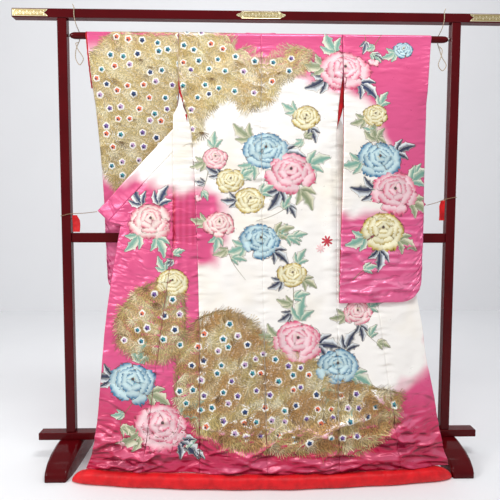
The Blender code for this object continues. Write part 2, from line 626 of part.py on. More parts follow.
def collar_half(side_name, side, turning, sign):
    """Half a collar: the over-collar from the middle of the neck down behind the back, and the collar
    from its end through the armpit to the tied tip."""
    rows = []
    share = np.linspace(0.0, 1.0, COLLAR_COLUMNS)[:, None]
    neck = [Neck(0.000, 2, 0.000, 0.0265, 1.630), Neck(0.030, 2, 0.022, 0.0270, 1.620),
            Neck(0.0595, 2, 0.042, 0.0280, 1.603), Neck(0.0665, 32, 0.049, 0.0285, 1.592),
            Neck(0.0725, 62, 0.056, 0.0290, 1.582)]
    for station in neck:
        row = []
        for step in range(4):
            angle = math.radians(station.start + (90 - station.start) * step / 3)
            radius = DRAPE_RADIUS + 0.0014 + 0.0009 * step
            x = station.gx + (station.cx - station.gx) * step / 6
            row.append((sign * x, radius * math.sin(angle), ROD_AXIS + radius * math.cos(angle)))
        rear = np.array(row[-1])
        free = np.array([sign * station.cx, station.cy, station.cz])
        row += [rear + (free - rear) * t for t in (1 / 3, 2 / 3, 1.0)]
        rows.append(np.array(row))
    shoulder = Band(sign * 0.0790, DRAPE_RADIUS + 0.0020, ROD_AXIS - 0.004, sign * 0.063, 0.0295, 1.572)
    behind = Band(sign * 0.142, 0.0205, 1.620, sign * 0.092, 0.0300, 1.545)
    lower = Band(sign * 0.205, 0.0235, 1.560, sign * 0.128, 0.0310, 1.520)
    for b in (shoulder, behind, lower, *turning):
        start = np.array([b.gx, b.gy, b.gz])
        free = np.array([b.cx, b.cy, b.cz])
        rows.append(start + (free - start) * share)
    first = 0.0 if sign < 0 else 0.06
    for along in np.linspace(first, 1.0, COLLAR_RUN_ROWS):
        across = np.linspace(0.0, 1.0, COLLAR_COLUMNS)
        places = np.array([collar_run(side, along, a) for a in across])
        row = on_face(places[:, 0], places[:, 1])
        if sign > 0:
            row[:, 1] += tuck_behind(row[:, 0], row[:, 2])
        else:
            row[:, 1] += 0.0012 * across * max(0.0, 1 - 6 * along)
        rows.append(row)
    grid = np.array(rows)
    grid[0, :, 0] += sign * SEAM
    upper, lower = parted(trimmed(grid, COLLAR_SEAM), COLLAR_PART)
    sheet_wall(f"over_collar_{side_name}", upper, COLLAR_CLOTH, SILK)
    sheet_wall(f"collar_{side_name}", lower, COLLAR_CLOTH, SILK)


# ---------------------------------------------------------------- sleeves
def sleeve_layers(x, z, across, sign):
    """Depths of a sleeve's front and rear layers; they close together at the sewn outer edge."""
    room = SLEEVE_ROOM + (2 * DRAPE_RADIUS - SLEEVE_ROOM) * ease(1.22, 1.66, z)
    if sign > 0:
        front = face_y(x, z) - RIGHT_SLEEVE_LIFT * ease(1.66, 1.45, z)
    else:
        front = -DRAPE_RADIUS + (LEFT_SLEEVE_Y + DRAPE_RADIUS) * ease(1.62, 0.98, z)
    closed = ease(0.86, 1.0, across) * ease(CUFF_BOTTOM + 0.012, CUFF_BOTTOM - 0.045, z)
    middle = front + room / 2
    room = room + (SLEEVE_SEWN - room) * closed
    return middle - room / 2, middle + room / 2


def sleeve_grid(inner, outer, sign, row_count, column_count):
    """Loop of a sleeve: down the viewer's layer, round the bottom, up the rear, over the rod."""
    across = 1 - (1 - np.linspace(0.0, 1.0, column_count)) ** 1.25
    corner = np.clip((across - 1) * SLEEVE_WIDTH / SLEEVE_CORNER + 1, 0.0, 1.0)
    bottom = SLEEVE_BOTTOM + SLEEVE_CORNER * (1 - np.sqrt(np.maximum(1 - corner ** 2, 0.0)))
    down = np.linspace(0.0, 1.0, row_count)
    front_rows, rear_rows_up = [], []
    for t in down:
        z = ROD_AXIS + (bottom + 0.004 - ROD_AXIS) * t
        x0 = line_through(inner, "z", "x", z)
        x1 = line_through(outer, "z", "x", z)
        x = x0 + (x1 - x0) * across
        y_front, y_rear = sleeve_layers(x, z, across, sign)
        front_rows.append(np.stack([x, y_front, z], axis=-1))
        rear_rows_up.append(np.stack([x, y_rear, z], axis=-1))
    turn = []
    low_front, low_rear = front_rows[-1], rear_rows_up[-1]
    for step in range(1, SLEEVE_TURN):
        angle = math.pi * step / SLEEVE_TURN
        middle = (low_front + low_rear) / 2
        half = (low_rear - low_front) / 2
        ring = middle - half * math.cos(angle)
        ring[:, 2] = middle[:, 2] - 0.0035 * math.sin(angle)
        turn.append(ring)
    over = []
    for step in range(1, 2 * ARC_STEPS):
        angle = math.pi * step / (2 * ARC_STEPS)
        ring = front_rows[0].copy()
        ring[:, 1] = DRAPE_RADIUS * math.cos(angle)
        ring[:, 2] = ROD_AXIS + DRAPE_RADIUS * math.sin(angle)
        over.append(ring)
    return np.array(front_rows + turn + rear_rows_up[::-1] + over)


def sleeve(name, inner, outer, sign):
    """A hanging sleeve: an open tube along X over the rod, sewn shut at its outer edge below the cuff."""
    grid = sleeve_grid(inner, outer, sign, SLEEVE_ROWS, SLEEVE_COLUMNS)
    return tube_wall(name, grid, SLEEVE_CLOTH, SILK)


def cuff_lining(name, outer, sign):
    """The lining's narrow rolled edge, showing past the cuff opening of a sleeve."""
    levels = np.linspace(CUFF_BOTTOM + 0.020, ROD_AXIS, 9)
    front, rear = [], []
    one = np.ones(1)
    for z in levels:
        x = line_through(outer, "z", "x", z)
        y_front, y_rear = sleeve_layers(x * one, z * one, one, sign)
        front.append((float(x), float(y_front[0]), z))
        rear.append((float(x), float(y_rear[0]), z))
    over = []
    for step in range(1, 2 * ARC_STEPS):
        angle = math.pi * step / (2 * ARC_STEPS)
        over.append((front[-1][0], -DRAPE_RADIUS * math.cos(angle),
                     ROD_AXIS + DRAPE_RADIUS * math.sin(angle)))
    path = np.array(front + over + rear[::-1])
    columns = []
    for reach in (GAP, CUFF_SHOW / 2, CUFF_SHOW):
        columns.append(path + np.array([sign * reach, 0.0, 0.0]))
    return sheet_wall(name, np.stack(columns, axis=1), SLEEVE_CLOTH, LINING)


# ---------------------------------------------------------------- padded hem roll
def hem_roll():
    """The padded hem (fuki): a soft roll along the floor line, flat below and pointed at both ends."""
    left = ROLL_LEFT_TIP + ROLL_TAPER
    right = ROLL_RIGHT_TIP - ROLL_TAPER
    stations = np.concatenate([ROLL_LEFT_TIP + ROLL_TAPER * np.linspace(0, 1, 7)[:-1] ** 1.7,
                               np.linspace(left, right, 23)[:-1],
                               ROLL_RIGHT_TIP - ROLL_TAPER * np.linspace(1, 0, 7) ** 1.7])
    sections = []
    for x in stations:
        inward = min(1.0, (min(x - ROLL_LEFT_TIP, ROLL_RIGHT_TIP - x) + 0.0015) / ROLL_TAPER)
        size = math.sqrt(1 - (1 - inward) ** 2)
        across = ROLL_DEPTH / 2 * size
        height = ROLL_HEIGHT * size
        y = float(hem_setback(x)) - ROLL_AHEAD
        ring = []
        for step in range(12):
            angle = 2 * math.pi * step / 12
            c, s = math.cos(angle), math.sin(angle)
            reach = math.copysign(abs(c) ** 0.8, c)
            rise = math.copysign(abs(s) ** 0.8, s)
            ring.append((x, y + across * reach, max(0.0, height / 2 * (1 + 1.06 * rise) - 0.03 * height)))
        sections.append(ring)
    return solid_loft("hem_roll", np.array(sections), HEM_RED, smooth=True)


# ---------------------------------------------------------------- kimono stand
def stand_foot(name, x):
    """A foot: a low block from front to back, its top edges sloped off and its ends curved down."""
    sections = []
    front = [row._replace(reach=-row.reach) for row in FOOT_PROFILE[::-1]]
    for row in front + FOOT_PROFILE:
        sections.append([(x - row.bottom, row.reach, 0.0), (x + row.bottom, row.reach, 0.0),
                         (x + row.bottom, row.reach, row.height * FOOT_SHOULDER),
                         (x + row.top, row.reach, row.height), (x - row.top, row.reach, row.height),
                         (x - row.bottom, row.reach, row.height * FOOT_SHOULDER)])
    return solid_loft(name, np.array(sections), LACQUER)


def rod():
    """The round rod, its last few centimetres tapered."""
    half = ROD_LENGTH / 2
    stations = [(-half, 0.62), (-half + 0.010, 0.90), (-half + 0.022, 1.0),
                (half - 0.022, 1.0), (half - 0.010, 0.90), (half, 0.62)]
    sections = []
    for x, size in stations:
        ring = [(x, ROD_RADIUS * size * math.cos(a), ROD_AXIS + ROD_RADIUS * size * math.sin(a))
                for a in np.linspace(0, 2 * math.pi, 16, endpoint=False)]
        sections.append(ring)
    return solid_loft("rod", np.array(sections), LACQUER, smooth=True)


def rod_pin(name, sign):
    """Steel pin between the rod's end and the post."""
    low = ROD_LENGTH / 2 + GAP
    high = POST_PITCH / 2 - POST_WIDTH / 2 - GAP
    sections = []
    for x in (low, high):
        ring = [(sign * x, PIN_RADIUS * math.cos(a), ROD_AXIS + PIN_RADIUS * math.sin(a))
                for a in np.linspace(0, 2 * math.pi, 12, endpoint=False)]
        sections.append(ring)
    return solid_loft(name, np.array(sections), STEEL, smooth=True)


def plate(name, outline, face, away):
    """A thin stamped plate: an outline in X and Z on one face of the beam."""
    near = face + away * GAP
    far = near + away * PLATE_THICKNESS
    sections = [[(x, y, z) for x, z in outline] for y in (near, far)]
    return solid_loft(name, np.array(sections), GILT)


def beam_plates():
    """Gilt plates: two swallow-tailed ends and a pointed middle one, on both faces of the beam."""
    middle_z = BEAM_BOTTOM + BEAM_HEIGHT / 2
    end = BEAM_LENGTH / 2 - 0.0035
    tail = end - PLATE_LENGTH
    notch = [(end, -1), (end, 1), (tail, 1), (tail + 0.006, 0.45), (tail + 0.016, 0.0),
             (tail + 0.006, -0.45), (tail, -1)]
    point = [(0.096, 0.0), (0.088, 0.42), (0.080, 0.50), (0.074, 1.0), (-0.074, 1.0), (-0.080, 0.50),
             (-0.088, 0.42), (-0.096, 0.0), (-0.088, -0.42), (-0.080, -0.50), (-0.074, -1.0),
             (0.074, -1.0), (0.080, -0.50), (0.088, -0.42)]
    for label, away in (("front", -1), ("rear", 1)):
        face = away * BEAM_DEPTH / 2
        for side, sign in (("left", -1), ("right", 1)):
            outline = [(sign * x, middle_z + PLATE_HALF_HEIGHT * h) for x, h in notch]
            plate(f"plate_{side}_{label}", outline, face, away)
        outline = [(x, middle_z + PLATE_HALF_HEIGHT * h) for x, h in point]
        plate(f"plate_middle_{label}", outline, face, away)


def stand():
    """The stand: beam, posts, rail, rod and pins, planks, feet and plates."""
    half_beam = BEAM_LENGTH / 2
    bar("beam", (-half_beam, -BEAM_DEPTH / 2, BEAM_BOTTOM),
        (half_beam, BEAM_DEPTH / 2, BEAM_BOTTOM + BEAM_HEIGHT), LACQUER)
    inside = POST_PITCH / 2 - POST_WIDTH / 2 - GAP
    bar("rail", (-inside, -RAIL_DEPTH / 2, RAIL_TOP - RAIL_HEIGHT),
        (inside, RAIL_DEPTH / 2, RAIL_TOP), LACQUER)
    rod()
    for side, sign in (("left", -1), ("right", 1)):
        x = sign * POST_PITCH / 2
        bar(f"post_{side}", (x - POST_WIDTH / 2, -POST_DEPTH / 2, PLANK_TOP + GAP),
            (x + POST_WIDTH / 2, POST_DEPTH / 2, BEAM_BOTTOM - GAP), LACQUER)
        bar(f"plank_{side}", (x - PLANK_LENGTH / 2, -PLANK_DEPTH / 2, PLANK_TOP - PLANK_THICKNESS),
            (x + PLANK_LENGTH / 2, PLANK_DEPTH / 2, PLANK_TOP), LACQUER)
        stand_foot(f"foot_{side}", x)
        rod_pin(f"pin_{side}", sign)
    beam_plates()


# ---------------------------------------------------------------- cords and ribbons
def twine(name, loop):
    """A twine: up in front of the beam, behind the rod, and down to a hanging loop that ends there."""
    front = -BEAM_DEPTH / 2 - 0.0030
    rear = ROD_RADIUS + 0.0024
    top = BEAM_BOTTOM + BEAM_HEIGHT
    strand, neck, middle = loop.strand_x, loop.neck_x, loop.loop_x
    neck_z = ROD_AXIS - loop.neck_drop
    low_z = ROD_AXIS - loop.loop_drop
    side_z = low_z + 0.017
    knots = [(strand + 0.006, front + 0.004, top + 0.016), (strand, front + 0.0012, top + 0.0035),
             (strand, front, top - 0.010), (strand, front, BEAM_BOTTOM + 0.008),
             (strand - 0.004, front + 0.010, BEAM_BOTTOM - 0.022),
             (strand - 0.009, rear + 0.002, ROD_AXIS + 0.010),
             (strand - 0.009, rear + 0.001, ROD_AXIS - 0.008),
             ((strand + neck) / 2 - 0.004, 0.009, (ROD_AXIS - 0.012 + neck_z) / 2),
             (neck + 0.0016, 0.004, neck_z),
             (middle + loop.loop_half, 0.001, side_z), (middle, -0.003, low_z),
             (middle - loop.loop_half, -0.004, side_z),
             (neck - 0.0016, -0.003, neck_z),
             ((strand + neck) / 2 + 0.001, -0.001, (ROD_AXIS - 0.012 + neck_z) / 2),
             (strand - 0.0075, 0.002, ROD_AXIS - 0.026)]
    placed = [(loop.sign * x, y, z) for x, y, z in knots]
    return cord(name, placed, TWINE_DIAMETER, 42, TWINE)


def tie(name, tip, post):
    """A tie from a collar tip to its post and once round it."""
    clear = TIE_DIAMETER / 2 + 0.0009
    out = POST_PITCH / 2 + POST_WIDTH / 2 + clear
    inside = POST_PITCH / 2 - POST_WIDTH / 2 - clear
    deep = POST_DEPTH / 2 + clear
    tip_x, tip_y, tip_z = tip
    start_x = abs(tip_x)
    high = post.level + post.rise
    knots = [(start_x, tip_y, tip_z),
             ((start_x + inside) / 2, (tip_y - deep) / 2 - 0.001, (tip_z + post.level) / 2 - 0.002),
             (inside + 0.001, -deep * 0.94, post.level - 0.0005),
             (inside + 0.012, -deep, post.level + post.rise * 0.25),
             (out - 0.012, -deep, post.level + post.rise * 0.8), (out - 0.0012, -deep * 0.93, high),
             (out, 0.0, high - 0.001), (out - 0.0012, deep * 0.93, high - 0.003),
             (out - 0.018, deep, high - 0.006), (inside + 0.0012, deep * 0.93, high - 0.009),
             (inside, 0.0, high - 0.012), (inside - 0.001, -deep * 0.55, high - 0.013)]
    placed = [(post.sign * x, y, z) for x, y, z in knots]
    return cord(name, placed, TIE_DIAMETER, 38, TWINE)


def ribbon(name, sign, top, length, bulge):
    """A short red ribbon hanging beside a post, bowed away from it."""
    inside = POST_PITCH / 2 - POST_WIDTH / 2 - 0.0052
    rows = []
    for t in np.linspace(0.0, 1.0, 9):
        z = top - length * t
        width = RIBBON_WIDTH * (0.72 + 0.28 * ease(0.0, 0.35, t))
        bow = bulge * math.sin(math.pi * t * 0.8)
        near = sign * (inside - 0.0005)
        far = sign * (inside - width - bow)
        share = np.linspace(0.0, 1.0, 4)
        x = near + (far - near) * share
        y = -POST_DEPTH / 2 + 0.004 + 0.004 * np.sin(share * 3.0 + 2.0 * t)
        rows.append(np.stack([x, y, np.full(4, z)], axis=-1))
    return sheet_wall(name, np.array(rows), RIBBON_THICKNESS, RIBBON)


def collar_tip(run, sign):
    """Where a tie leaves the tip of a collar half."""
    x, z = np.array(run.tip_x), np.array(run.tip_z)
    y = float(face_y(x, z))
    if sign > 0:
        y += float(tuck_behind(x, z))
    return run.tip_x + sign * 0.0035, y, run.tip_z - 0.0035


def cords():
    """Both twines, both ties and both ribbons."""
    twine("twine_left", TWINE_LEFT)
    twine("twine_right", TWINE_RIGHT)
    tie("tie_left", collar_tip(COLLAR_RUN_LEFT, -1), TIE_LEFT)
    tie("tie_right", collar_tip(COLLAR_RUN_RIGHT, 1), TIE_RIGHT)
    ribbon("ribbon_left", -1, 0.986, 0.066, 0.006)
    ribbon("ribbon_right", 1, 1.0475, 0.0795, -0.002)


def robe():
    """All the robe's pieces."""
    back_panel("back_left", BACK_MIDDLE, BACK_EDGE_LEFT, 10)
    back_panel("back_right", BACK_MIDDLE, BACK_EDGE_RIGHT, 11)
    front_left()
    front_right()
    overlap_panel("overlap_left", OVERLAP_SEAM_LEFT, FRONT_EDGE_LEFT, COLLAR_RUN_LEFT, 7)
    overlap_panel("overlap_right", OVERLAP_SEAM_RIGHT, FRONT_EDGE_RIGHT, COLLAR_RUN_RIGHT, 7)
    collar_half("left", COLLAR_RUN_LEFT, COLLAR_LEFT, -1)
    collar_half("right", COLLAR_RUN_RIGHT, COLLAR_RIGHT, 1)
    sleeve("sleeve_left", SLEEVE_IN_LEFT, SLEEVE_OUT_LEFT, -1)
    sleeve("sleeve_right", SLEEVE_IN_RIGHT, SLEEVE_OUT_RIGHT, 1)
    cuff_lining("cuff_lining_left", SLEEVE_OUT_LEFT, -1)
    hem_roll()


def main():
    """Build the stand, the robe and the cords."""
    clear_scene()
    stand()
    robe()
    cords()


main()
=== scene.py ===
"""Dressed model of an uchikake, a trailing wedding kimono, hung back-out on a lacquered kimono stand.

Metres, +Z up, +X to the viewer's right, +Y away from the viewer. Every shape is worked out about the
stand's middle plane and is put in its place by STAND_Y, as the solids are. The robe's panels are walls
round a middle surface, so that the outer silk and the lining are both there from every side.
"""
import logging
import math
from dataclasses import dataclass, field
from enum import Enum
from typing import Any, Callable, Optional, Sequence

import bpy
import numpy as np
from mathutils import Matrix, Vector


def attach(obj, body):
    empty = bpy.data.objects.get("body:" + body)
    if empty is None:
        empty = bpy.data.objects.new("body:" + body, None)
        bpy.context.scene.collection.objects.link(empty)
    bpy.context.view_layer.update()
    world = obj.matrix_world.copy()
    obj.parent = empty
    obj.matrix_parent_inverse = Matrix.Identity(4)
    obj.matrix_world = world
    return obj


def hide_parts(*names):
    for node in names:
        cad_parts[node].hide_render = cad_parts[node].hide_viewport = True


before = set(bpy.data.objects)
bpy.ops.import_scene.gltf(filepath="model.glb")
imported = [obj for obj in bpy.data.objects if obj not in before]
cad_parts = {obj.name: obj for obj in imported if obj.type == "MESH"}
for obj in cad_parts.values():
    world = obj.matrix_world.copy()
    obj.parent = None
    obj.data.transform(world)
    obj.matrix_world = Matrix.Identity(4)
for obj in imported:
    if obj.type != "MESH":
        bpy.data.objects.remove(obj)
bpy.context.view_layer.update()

Array = np.ndarray
Pair = tuple[float, float]
Colour = Point = tuple[float, float, float]
Outline = tuple[Pair, ...]
Relief = Callable[[Array, Array], Array]
Material = bpy.types.Material
Item = bpy.types.Object
log = logging.getLogger("uchikake")

# ---------------------------------------------------------------- sizes shared with the solids
STAND_Y = 0.0375
POST_PITCH, POST_WIDTH, POST_DEPTH = 1.525, 0.036, 0.033
BEAM_LENGTH, BEAM_HEIGHT, BEAM_DEPTH, BEAM_BOTTOM = 1.901, 0.034, 0.036, 1.738
ROD_AXIS, ROD_RADIUS, ROD_LENGTH = 1.677, 0.013, 1.468
CLOTH, SLEEVE_CLOTH, COLLAR_CLOTH = 0.0016, 0.0014, 0.0026
DRAPE_RADIUS = ROD_RADIUS + 0.0006 + CLOTH / 2
QUARTER = DRAPE_RADIUS * math.pi / 2
HEM_Z = 0.0495
GAP = 0.0003
NECK_HALF, NECK_SPREAD, SHOULDER_HALF = 0.06, 0.018, 0.3165
PLEAT_EDGE_X, PLEAT_RADIUS, PLEAT_SWELL = -0.335, 0.0022, 0.009
LEFT_TURN_Z, RIGHT_TURN_Z = 1.37, 1.3
TWINE_DIAMETER, TIE_DIAMETER = 0.0032, 0.0026
SIDES = {-1: "left", 1: "right"}
FRONT, UP = np.array([0.0, -1.0, 0.0]), np.array([0.0, 0.0, 1.0])
FRONT_SHARE = np.concatenate([np.linspace(0, 5, 19)[:-1], np.linspace(5, 9, 11),
                              np.linspace(9, 13, 15)[1:]]) / 13


# ---------------------------------------------------------------- curve helpers
def ease(edge0: float, edge1: float, value: Any) -> Array:
    """Smooth step 3t^2 - 2t^3 from 0 at edge0 to 1 at edge1, which may be the smaller of the two."""
    t = np.clip((value - edge0) / (edge1 - edge0), 0.0, 1.0)
    return t * t * (3 - 2 * t)


def bell(distance: Array, width: float) -> Array:
    """Bell curve of a distance: 1 at 0 and 1/e at the width."""
    return np.exp(-(distance / width) ** 2)


def joined(*axes: Any) -> Array:
    """Points from their coordinates, each spread over the shape of the others."""
    return np.stack(np.broadcast_arrays(*axes), axis=-1)


def runs(path: Array) -> Array:
    """Length along a path up to each of its points."""
    return np.concatenate([[0.0], np.cumsum(np.linalg.norm(np.diff(path, axis=0), axis=1))])


def hermite(knots: Array, values: Array, at: Any) -> Array:
    """Read a smooth curve through rows of values: Hermite cubics with central-difference slopes.

    Args:
        knots: Increasing places of the rows.
        values: One row (a number or an array) for each knot.
        at: Places to be read, clamped to the knots.

    Returns:
        The rows at those places, with their own shape behind that of at.
    """
    slopes = np.gradient(values, knots, axis=0)
    at = np.clip(np.asarray(at, float), knots[0], knots[-1])
    cell = np.clip(np.searchsorted(knots, at) - 1, 0, len(knots) - 2)
    wide = at.shape + (1,) * (values.ndim - 1)
    span = (knots[cell + 1] - knots[cell]).reshape(wide)
    t = (at - knots[cell]).reshape(wide) / span
    return (values[cell] * (2 * t ** 3 - 3 * t ** 2 + 1) + slopes[cell] * span * (t ** 3 - 2 * t ** 2 + t)
            + values[cell + 1] * (3 * t ** 2 - 2 * t ** 3) + slopes[cell + 1] * span * (t ** 3 - t ** 2))


def respaced(stack: Array, count: int) -> Array:
    """Read count rows, evenly spaced by mean distance, from a smooth curve through a stack of rows."""
    gaps = np.linalg.norm(np.diff(stack, axis=0), axis=2).mean(axis=1)
    knots = np.concatenate([[0.0], np.cumsum(gaps)])
    return hermite(knots, stack, np.linspace(0.0, knots[-1], count))


def route_through(knots: Sequence[Sequence[float]], count: int) -> Array:
    """Read evenly spaced points from a smooth curve through a route's own knots."""
    places = np.array(knots, float)
    steps = runs(places)
    curve = hermite(steps, places, np.linspace(0.0, steps[-1], count * 12))
    run = runs(curve)
    even = np.linspace(0.0, run[-1], count)
    return np.stack([np.interp(even, run, curve[:, axis]) for axis in range(3)], axis=1)


def crowded(count: int, crowd: float = 0.65) -> Array:
    """Shares from 0 to 1 that lie closer together at both ends: t - c sin(2 pi t) / 2 pi."""
    t = np.linspace(0.0, 1.0, count)
    return t - crowd * np.sin(2 * np.pi * t) / (2 * np.pi)


def steady(count: int, seed: int, columns: int = 4) -> Array:
    """A seeded table of numbers from 0 to 1, the same on each run."""
    return np.random.default_rng(seed).random((count, columns))


def waves(x: Array, z: Array, seed: int, longest: float, shortest: float, count: int = 9) -> Array:
    """Smooth seeded noise about 0: a sum of sine waves of random direction, length and phase.

    Args:
        x: First coordinate.
        z: Second coordinate.
        seed: Number that fixes the draw.
        longest: Longest wave, in metres.
        shortest: Shortest wave.
        count: How many waves are summed.

    Returns:
        Array of about unit height.
    """
    total = np.zeros(np.broadcast(x, z).shape)
    for turn, size, phase, _ in steady(count, seed):
        pitch = 2 * np.pi / (longest * (shortest / longest) ** size)
        heading = np.pi * turn
        total = total + np.sin(pitch * (x * np.cos(heading) + z * np.sin(heading)) + 2 * np.pi * phase)
    return total / math.sqrt(count)


def linear(red: float, green: float, blue: float) -> Colour:
    """Turn a display colour, 0 to 255 a channel, into the linear colour that shaders take."""
    shown = np.array([red, green, blue]) / 255.0
    value = np.where(shown <= 0.04045, shown / 12.92, ((shown + 0.055) / 1.055) ** 2.4)
    return tuple(float(channel) for channel in value)


@dataclass(frozen=True)
class Line:
    """A seam or edge line of the robe: x against height, as a smooth curve through a table."""

    table: Outline

    def at(self, z: Any) -> Array:
        """Return x at the heights z."""
        rows = np.array(sorted(self.table))
        return hermite(rows[:, 0], rows[:, 1], z)


MIDDLE = Line(((1.7, 0.0), (0.9, 0.004), (0.05, 0.019)))
BACK_LEFT = Line(((1.7, -0.3165), (1.51, -0.3155), (1.42, -0.298), (1.33, -0.272),
                  (1.2, -0.258), (0.95, -0.245), (0.6, -0.233), (0.05, -0.227)))
BACK_RIGHT = Line(((1.7, 0.3165), (1.51, 0.315), (1.43, 0.303), (1.33, 0.294),
                   (1.0, 0.29), (0.6, 0.286), (0.05, 0.282)))
OVERLAP_LEFT = Line(((1.285, -0.283), (0.87, -0.335), (0.45, -0.388), (0.05, -0.436)))
OVERLAP_RIGHT = Line(((1.285, 0.33), (0.87, 0.415), (0.45, 0.466), (0.05, 0.513)))
EDGE_LEFT = Line(((0.95, -0.54), (0.88, -0.552), (0.73, -0.573), (0.56, -0.59),
                  (0.35, -0.602), (0.2, -0.614), (0.1, -0.63), (0.05, -0.65)))
EDGE_RIGHT = Line(((0.95, 0.56), (0.7, 0.6), (0.56, 0.619), (0.43, 0.632),
                   (0.33, 0.652), (0.22, 0.669), (0.13, 0.684), (0.05, 0.706)))
SLEEVE_OUT_LEFT = Line(((1.69, -0.668), (1.57, -0.659), (1.45, -0.647), (1.33, -0.636),
                        (1.14, -0.624), (0.93, -0.617), (0.77, -0.612), (0.6, -0.605)))
SLEEVE_OUT_RIGHT = Line(((1.69, 0.667), (1.57, 0.655), (1.45, 0.646), (1.33, 0.6465),
                         (1.14, 0.648), (0.95, 0.644), (0.77, 0.626), (0.6, 0.61)))
SLEEVE_IN_LEFT = Line(((1.69, -0.3178), (1.47, -0.3182), (1.4, -0.327), (1.2, -0.33),
                       (0.9, -0.32), (0.6, -0.31)))
SLEEVE_IN_RIGHT = Line(((1.69, 0.3178), (1.38, 0.319), (1.2, 0.316), (1.0, 0.308),
                        (0.85, 0.3), (0.6, 0.29)))


# ---------------------------------------------------------------- mesh building
@dataclass
class Shell:
    """Points and four-sided faces of one piece, with what its materials read."""

    points: Array
    faces: Array
    look: Optional[Array] = None
    uv: Optional[Array] = None
    values: dict[str, Array] = field(default_factory=dict)

    def volume(self) -> float:
        """Return the signed volume: the sum of a.(b x c) over the faces' triangles, by six."""
        a, b, c, d = (self.points[self.faces[:, corner]] for corner in range(4))
        return float((a * np.cross(b, c)).sum() + (a * np.cross(c, d)).sum()) / 6.0


def add_piece(name: str, shell: Shell, materials: Sequence[Material],
              nodes: Sequence[str] = (), solid: bool = True) -> Item:
    """Make a mesh object at the origin from a shell, turned outwards, with its place in its mesh.

    Args:
        name: Name of the piece.
        shell: Its points, faces, material numbers, UV map and attributes.
        materials: Its materials.
        nodes: The nodes that it stands for.
        solid: Whether the shell is closed, so that its volume tells which way it faces.

    Returns:
        The new object, riding on the body.
    """
    faces = shell.faces
    if solid and shell.volume() < 0:
        faces = faces[:, ::-1]
    mesh = bpy.data.meshes.new(name)
    places = shell.points + np.array([0.0, STAND_Y, 0.0])
    mesh.from_pydata(places.tolist(), [], faces.tolist())
    for material in materials:
        mesh.materials.append(material)
    if shell.look is not None:
        mesh.polygons.foreach_set("material_index", shell.look.astype(np.int32))
    if shell.uv is not None:
        layer = mesh.uv_layers.new(name="UVMap")
        layer.data.foreach_set("uv", shell.uv[faces.reshape(-1)].astype(np.float32).ravel())
    for label, value in shell.values.items():
        if value.ndim == 1:
            layer = mesh.attributes.new(label, "FLOAT", "POINT")
            layer.data.foreach_set("value", value.astype(np.float32))
        else:
            full = np.concatenate([value, np.ones((len(value), 1))], axis=1)
            layer = mesh.attributes.new(label, "FLOAT_COLOR", "POINT")
            layer.data.foreach_set("color", full.astype(np.float32).ravel())
    mesh.polygons.foreach_set("use_smooth", np.full(len(faces), True))
    mesh.update()
    item = bpy.data.objects.new(name, mesh)
    bpy.context.scene.collection.objects.link(item)
    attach(item, "root")
    if nodes:
        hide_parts(*nodes)
    log.info("%s: %d points, %d faces", name, len(shell.points), len(faces))
    return item


def grid_faces(rows: int, columns: int, ring: bool = False) -> Array:
    """Number the four-sided faces of a grid of points, whose rows may close into a ring."""
    index = np.arange(rows * columns).reshape(rows, columns)
    if ring:
        index = np.concatenate([index, index[:1]])
    return np.stack([index[:-1, :-1], index[:-1, 1:], index[1:, 1:], index[1:, :-1]], axis=-1).reshape(-1, 4)


def tube_faces(count: int, sides: int) -> Array:
    """Number the faces of a tube of sections, closed by fans about two points that follow the sections."""
    index = np.arange(count * sides).reshape(count, sides)
    turned = np.roll(index, -1, axis=1)
    wall = np.stack([index[:-1], turned[:-1], turned[1:], index[1:]], axis=-1).reshape(-1, 4)
    pair = np.arange(0, sides, 2)
    after = (pair + 2) % sides
    start = joined(count * sides, index[0, after], index[0, pair + 1], index[0, pair])
    end = joined(count * sides + 1, index[-1, pair], index[-1, pair + 1], index[-1, after])
    return np.concatenate([wall, start, end])


def lengths_of(grid: Array) -> Array:
    """UV map of a grid in metres: run across its columns and down its rows, as woven."""
    across = np.linalg.norm(np.diff(grid, axis=1), axis=2)
    down = np.linalg.norm(np.diff(grid, axis=0), axis=2)
    u = np.concatenate([np.zeros((grid.shape[0], 1)), np.cumsum(across, axis=1)], axis=1)
    v = np.concatenate([np.zeros((1, grid.shape[1])), np.cumsum(down, axis=0)], axis=0)
    middle = u[:, grid.shape[1] // 2:grid.shape[1] // 2 + 1]
    return joined(u - middle, v.mean(axis=1, keepdims=True))


def walled(grid: Array, thickness: float, outward: Array = FRONT, ring: bool = False) -> Shell:
    """Give a grid of middle-surface points a wall: the outer silk and the lining, joined at the edges.

    Args:
        grid: Rows and columns of points.
        thickness: Wall thickness.
        outward: Rough direction of the outer side at the first row's middle.
        ring: Whether the rows close into a tube.

    Returns:
        A closed shell; look is 0 on the outer side and edges and 1 on the lining.
    """
    if ring:
        down = (np.roll(grid, -1, axis=0) - np.roll(grid, 1, axis=0)) / 2
    else:
        down = np.gradient(grid, axis=0)
    normal = np.cross(down, np.gradient(grid, axis=1))
    normal = normal / np.maximum(np.linalg.norm(normal, axis=2, keepdims=True), 1e-12)
    if float(normal[0, grid.shape[1] // 2] @ outward) < 0:
        normal = -normal
    return paired(grid + normal * thickness / 2, grid - normal * thickness / 2, lengths_of(grid), ring)


